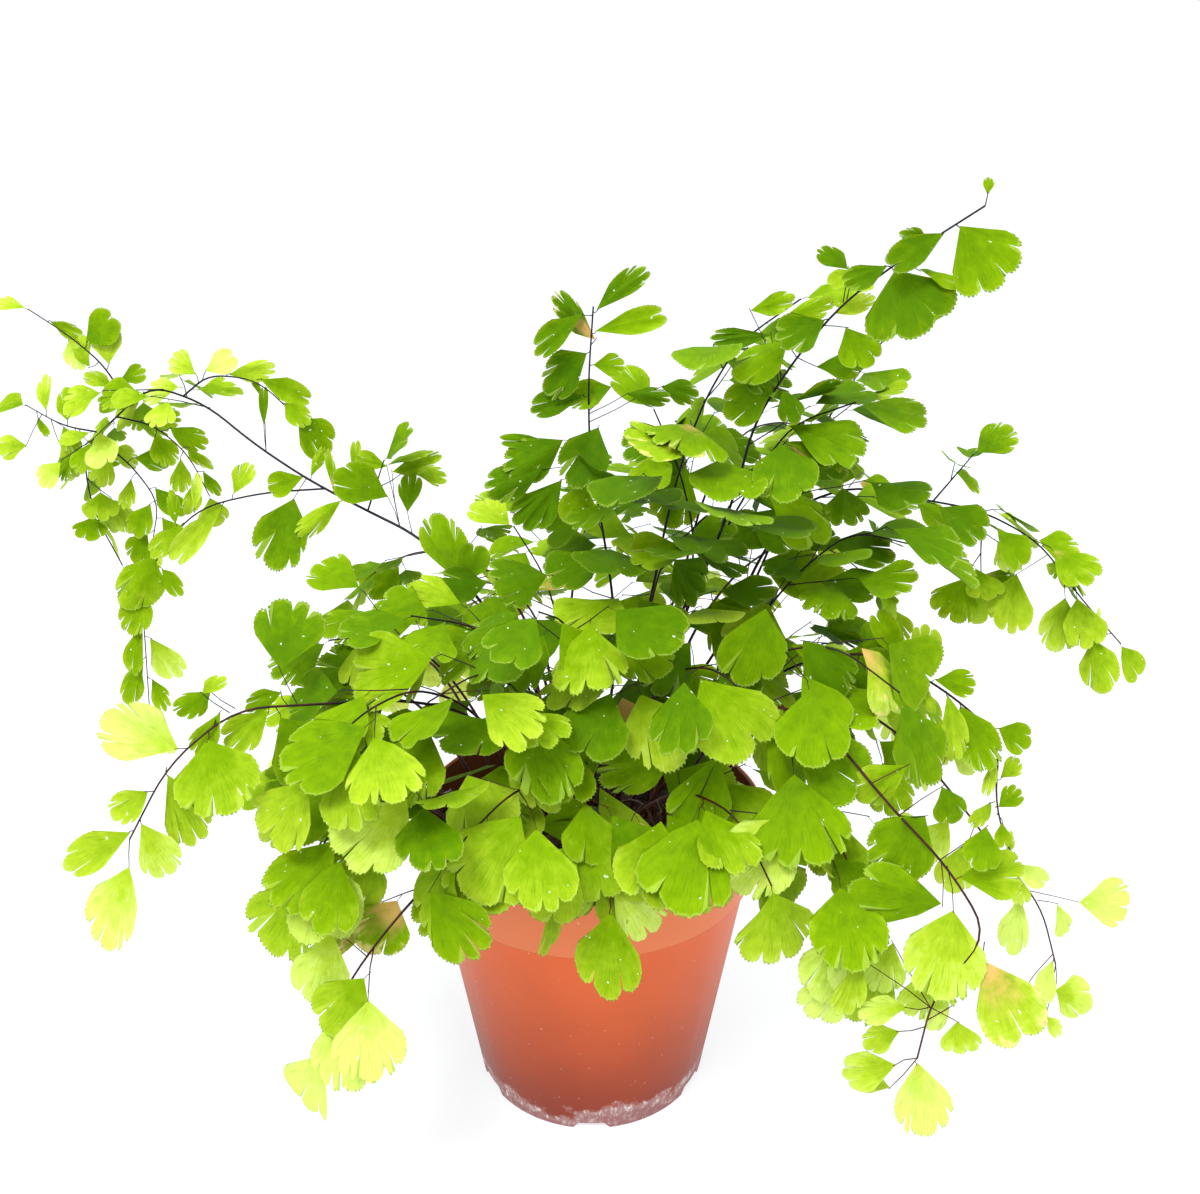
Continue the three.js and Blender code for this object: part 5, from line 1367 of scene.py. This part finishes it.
def stemFinish():
    look = stemLook
    finish = Finish("fernStem")
    place = finish.place()
    _, _, height = finish.parts(place)
    blotches = finish.noise(place, look["blotchScale"], 3, 0.6)
    warmth = finish.rise(look["russetBelow"] - height + (blotches - 0.5) * 0.16, 0.0, 0.09)
    colour = finish.blend(look["black"], look["russet"], warmth * blotches * 1.5)
    finish.set(Base_Color=colour, Roughness=0.3 + blotches * 0.2, Specular_IOR_Level=0.2)
    grain = finish.noise(finish.mapped(place, (1, 1, 0.2)), look["grainScale"], 2)
    finish.bump(grain, look["relief"], 0.35)
    return finish.material


potLook = {
    "orange": (0.74, 0.125, 0.028),
    "footShade": (0.22, 0.026, 0.008),  # painted shade, darkening towards the foot
    "footShadeOver": (-0.005, 0.095),  # heights
    "litBand": (0.8, 0.24, 0.1),  # painted light on the band
    "litBandShare": 0.6,
    # painted shadow under the band's step
    "underBandShadow": (0.2, 0.03, 0.01),
    "underBandShadowShare": 0.55,
    "crust": (0.33, 0.17, 0.17),
    "crustShare": 0.75,
    "crustDrift": 0.03,
    "lime": (0.85, 0.78, 0.76),
    "flakeScale": 620,
    "dustScale": 700,
    "dustShare": 0.3,
    # painted shade, with some real soil stain, on the inner face of the band
    "inside": (0.05, 0.012, 0.006),
    "insideShadeAndStainShare": 0.85,
    "relief": 0.00016,
}


def potFinish():
    look = potLook
    finish = Finish("terracottaPlastic")
    place = finish.place()
    x, y, height = finish.parts(place)
    clouds = finish.noise(place, 22, 4, 0.55)
    fine = finish.noise(place, 900, 3, 0.6)
    # painted shade: the wall darkens towards the foot
    aboveFootShade = finish.rise(height + (clouds - 0.5) * 0.03, *look["footShadeOver"])
    plain = finish.blend(look["footShade"], look["orange"], aboveFootShade)
    onBand = finish.rise(height, bandFoot - 0.2 * mm, bandFoot + 0.4 * mm)
    # painted light: the band is painted lighter than the wall
    withLitBand = finish.blend(plain, look["litBand"], onBand * look["litBandShare"])
    # painted shadow: a dark strip just under the band's step
    underBandShadow = finish.rise(height, bandFoot - 1.6 * mm, bandFoot - 0.1 * mm) * (1 - onBand)
    colour = finish.blend(withLitBand, look["underBandShadow"], underBandShadow * look["underBandShadowShare"])
    # depth under a wavy line round the foot
    depth = finish.noise(place, 60, 5, 0.6) * look["crustDrift"] + 0.0005 - height
    crust = finish.rise(depth, 0.0075, 0.0105)
    edge = finish.rise(depth, 0.006, 0.0085) * (1 - finish.rise(depth, 0.0095, 0.0125))
    flat = finish.mapped(place, (1, 1, 0.6))
    flakes = finish.rise(finish.noise(flat, look["flakeScale"], 5, 0.75), 0.48, 0.66)
    mauve = finish.blend(colour, look["crust"], crust * look["crustShare"])
    dust = finish.rise(finish.noise(place, look["dustScale"], 2, 0.5), 0.72, 0.77)
    white = edge * (flakes * 0.5 + 0.12) + crust * flakes * 0.24 + dust * look["dustShare"]
    limed = finish.blend(mauve, look["lime"], white)
    wallMiddle = height * 0.153 + 0.04285  # between the inner and the outer face of the band
    # painted shade and soil stain: the inner face of the band is darkened
    inside = finish.rise(wallMiddle - (x * x + y * y) ** 0.5, -0.0003, 0.0003) * onBand
    finish.set(Base_Color=finish.blend(limed, look["inside"], inside * look["insideShadeAndStainShare"]),
               Roughness=0.34 + clouds * 0.12 + crust * 0.4, Specular_IOR_Level=0.2)
    finish.bump(fine * 0.2 + crust * 1.2 + clouds * 0.3, look["relief"], 0.5)
    return finish.material


soilLook = {
    "grains": ((0.3, (0.006, 0.004, 0.003)), (0.62, (0.035, 0.022, 0.013)),
               (0.8, (0.11, 0.075, 0.045))),
    "grainScale": 420,
    "fibre": (0.16, 0.1, 0.05),
    "fibreScale": 900,
    "relief": 0.0012,
}


def soilFinish():
    look = soilLook
    finish = Finish("pottingSoil")
    place = finish.place()
    grain = finish.noise(place, look["grainScale"], 5, 0.7)
    strands = finish.noise(finish.mapped(place, (1, 0.15, 1)), look["fibreScale"], 2, 0.5)
    dark = finish.ramp(grain, *look["grains"])
    finish.set(Base_Color=finish.blend(dark, look["fibre"], finish.rise(strands, 0.66, 0.75)),
               Roughness=0.86 + grain * 0.12)
    finish.bump(grain, look["relief"], 0.9)
    return finish.material


barkLook = {
    "browns": ((0.3, (0.018, 0.008, 0.005)), (0.55, (0.09, 0.04, 0.02)),
               (0.75, (0.24, 0.13, 0.06))),
    "grainScale": 500,
    "relief": 0.0006,
}


def barkFinish():
    finish = Finish("rhizomeBark")
    grain = finish.noise(finish.place(), barkLook["grainScale"], 4, 0.65)
    finish.set(Base_Color=finish.ramp(grain, *barkLook["browns"]), Roughness=0.7 + grain * 0.2)
    finish.bump(grain, barkLook["relief"], 0.8)
    return finish.material


stubLook = {
    "browns": ((0.35, (0.07, 0.02, 0.012)), (0.7, (0.3, 0.12, 0.06))),
    "streakScale": 1100,
    "relief": 0.0003,
}


def stubFinish():
    finish = Finish("cutStipe")
    streaks = finish.noise(finish.mapped(finish.place(), (1, 1, 0.12)), stubLook["streakScale"], 3)
    finish.set(Base_Color=finish.ramp(streaks, *stubLook["browns"]), Roughness=0.5 + streaks * 0.2)
    finish.bump(streaks, stubLook["relief"], 0.6)
    return finish.material


floorLook = {
    "colour": (0.37, 0.41, 0.46, 1),
    "roughness": 0.9,
    "glow": 0.68,
    "size": 12,
    "drop": 0.1 * mm,
}


def makeFloor():
    finish = Finish("paleFloor")
    finish.set(Base_Color=floorLook["colour"], Roughness=floorLook["roughness"],
               Specular_IOR_Level=0.0, Emission_Color=(1, 1, 1, 1),
               Emission_Strength=floorLook["glow"])
    ground = bmesh.new()
    bmesh.ops.create_grid(ground, x_segments=1, y_segments=1, size=floorLook["size"])
    bmesh.ops.translate(ground, verts=ground.verts, vec=(0, 0, -floorLook["drop"]))
    floor = meshObject("floor", ground)
    floor.data.materials.append(finish.material)
    print("floor: done")


addCamera()
addSky()
for lampName, lamp in studio["lamps"].items():
    addLamp(lampName, lamp)
print("camera, sky and lamps: done")
makeFloor()
makePot(potFinish())
makeSoil(soilFinish())
makeRhizome(barkFinish(), stubFinish())
makeFern(leafFinish(), stemFinish())

bpy.context.view_layer.update()
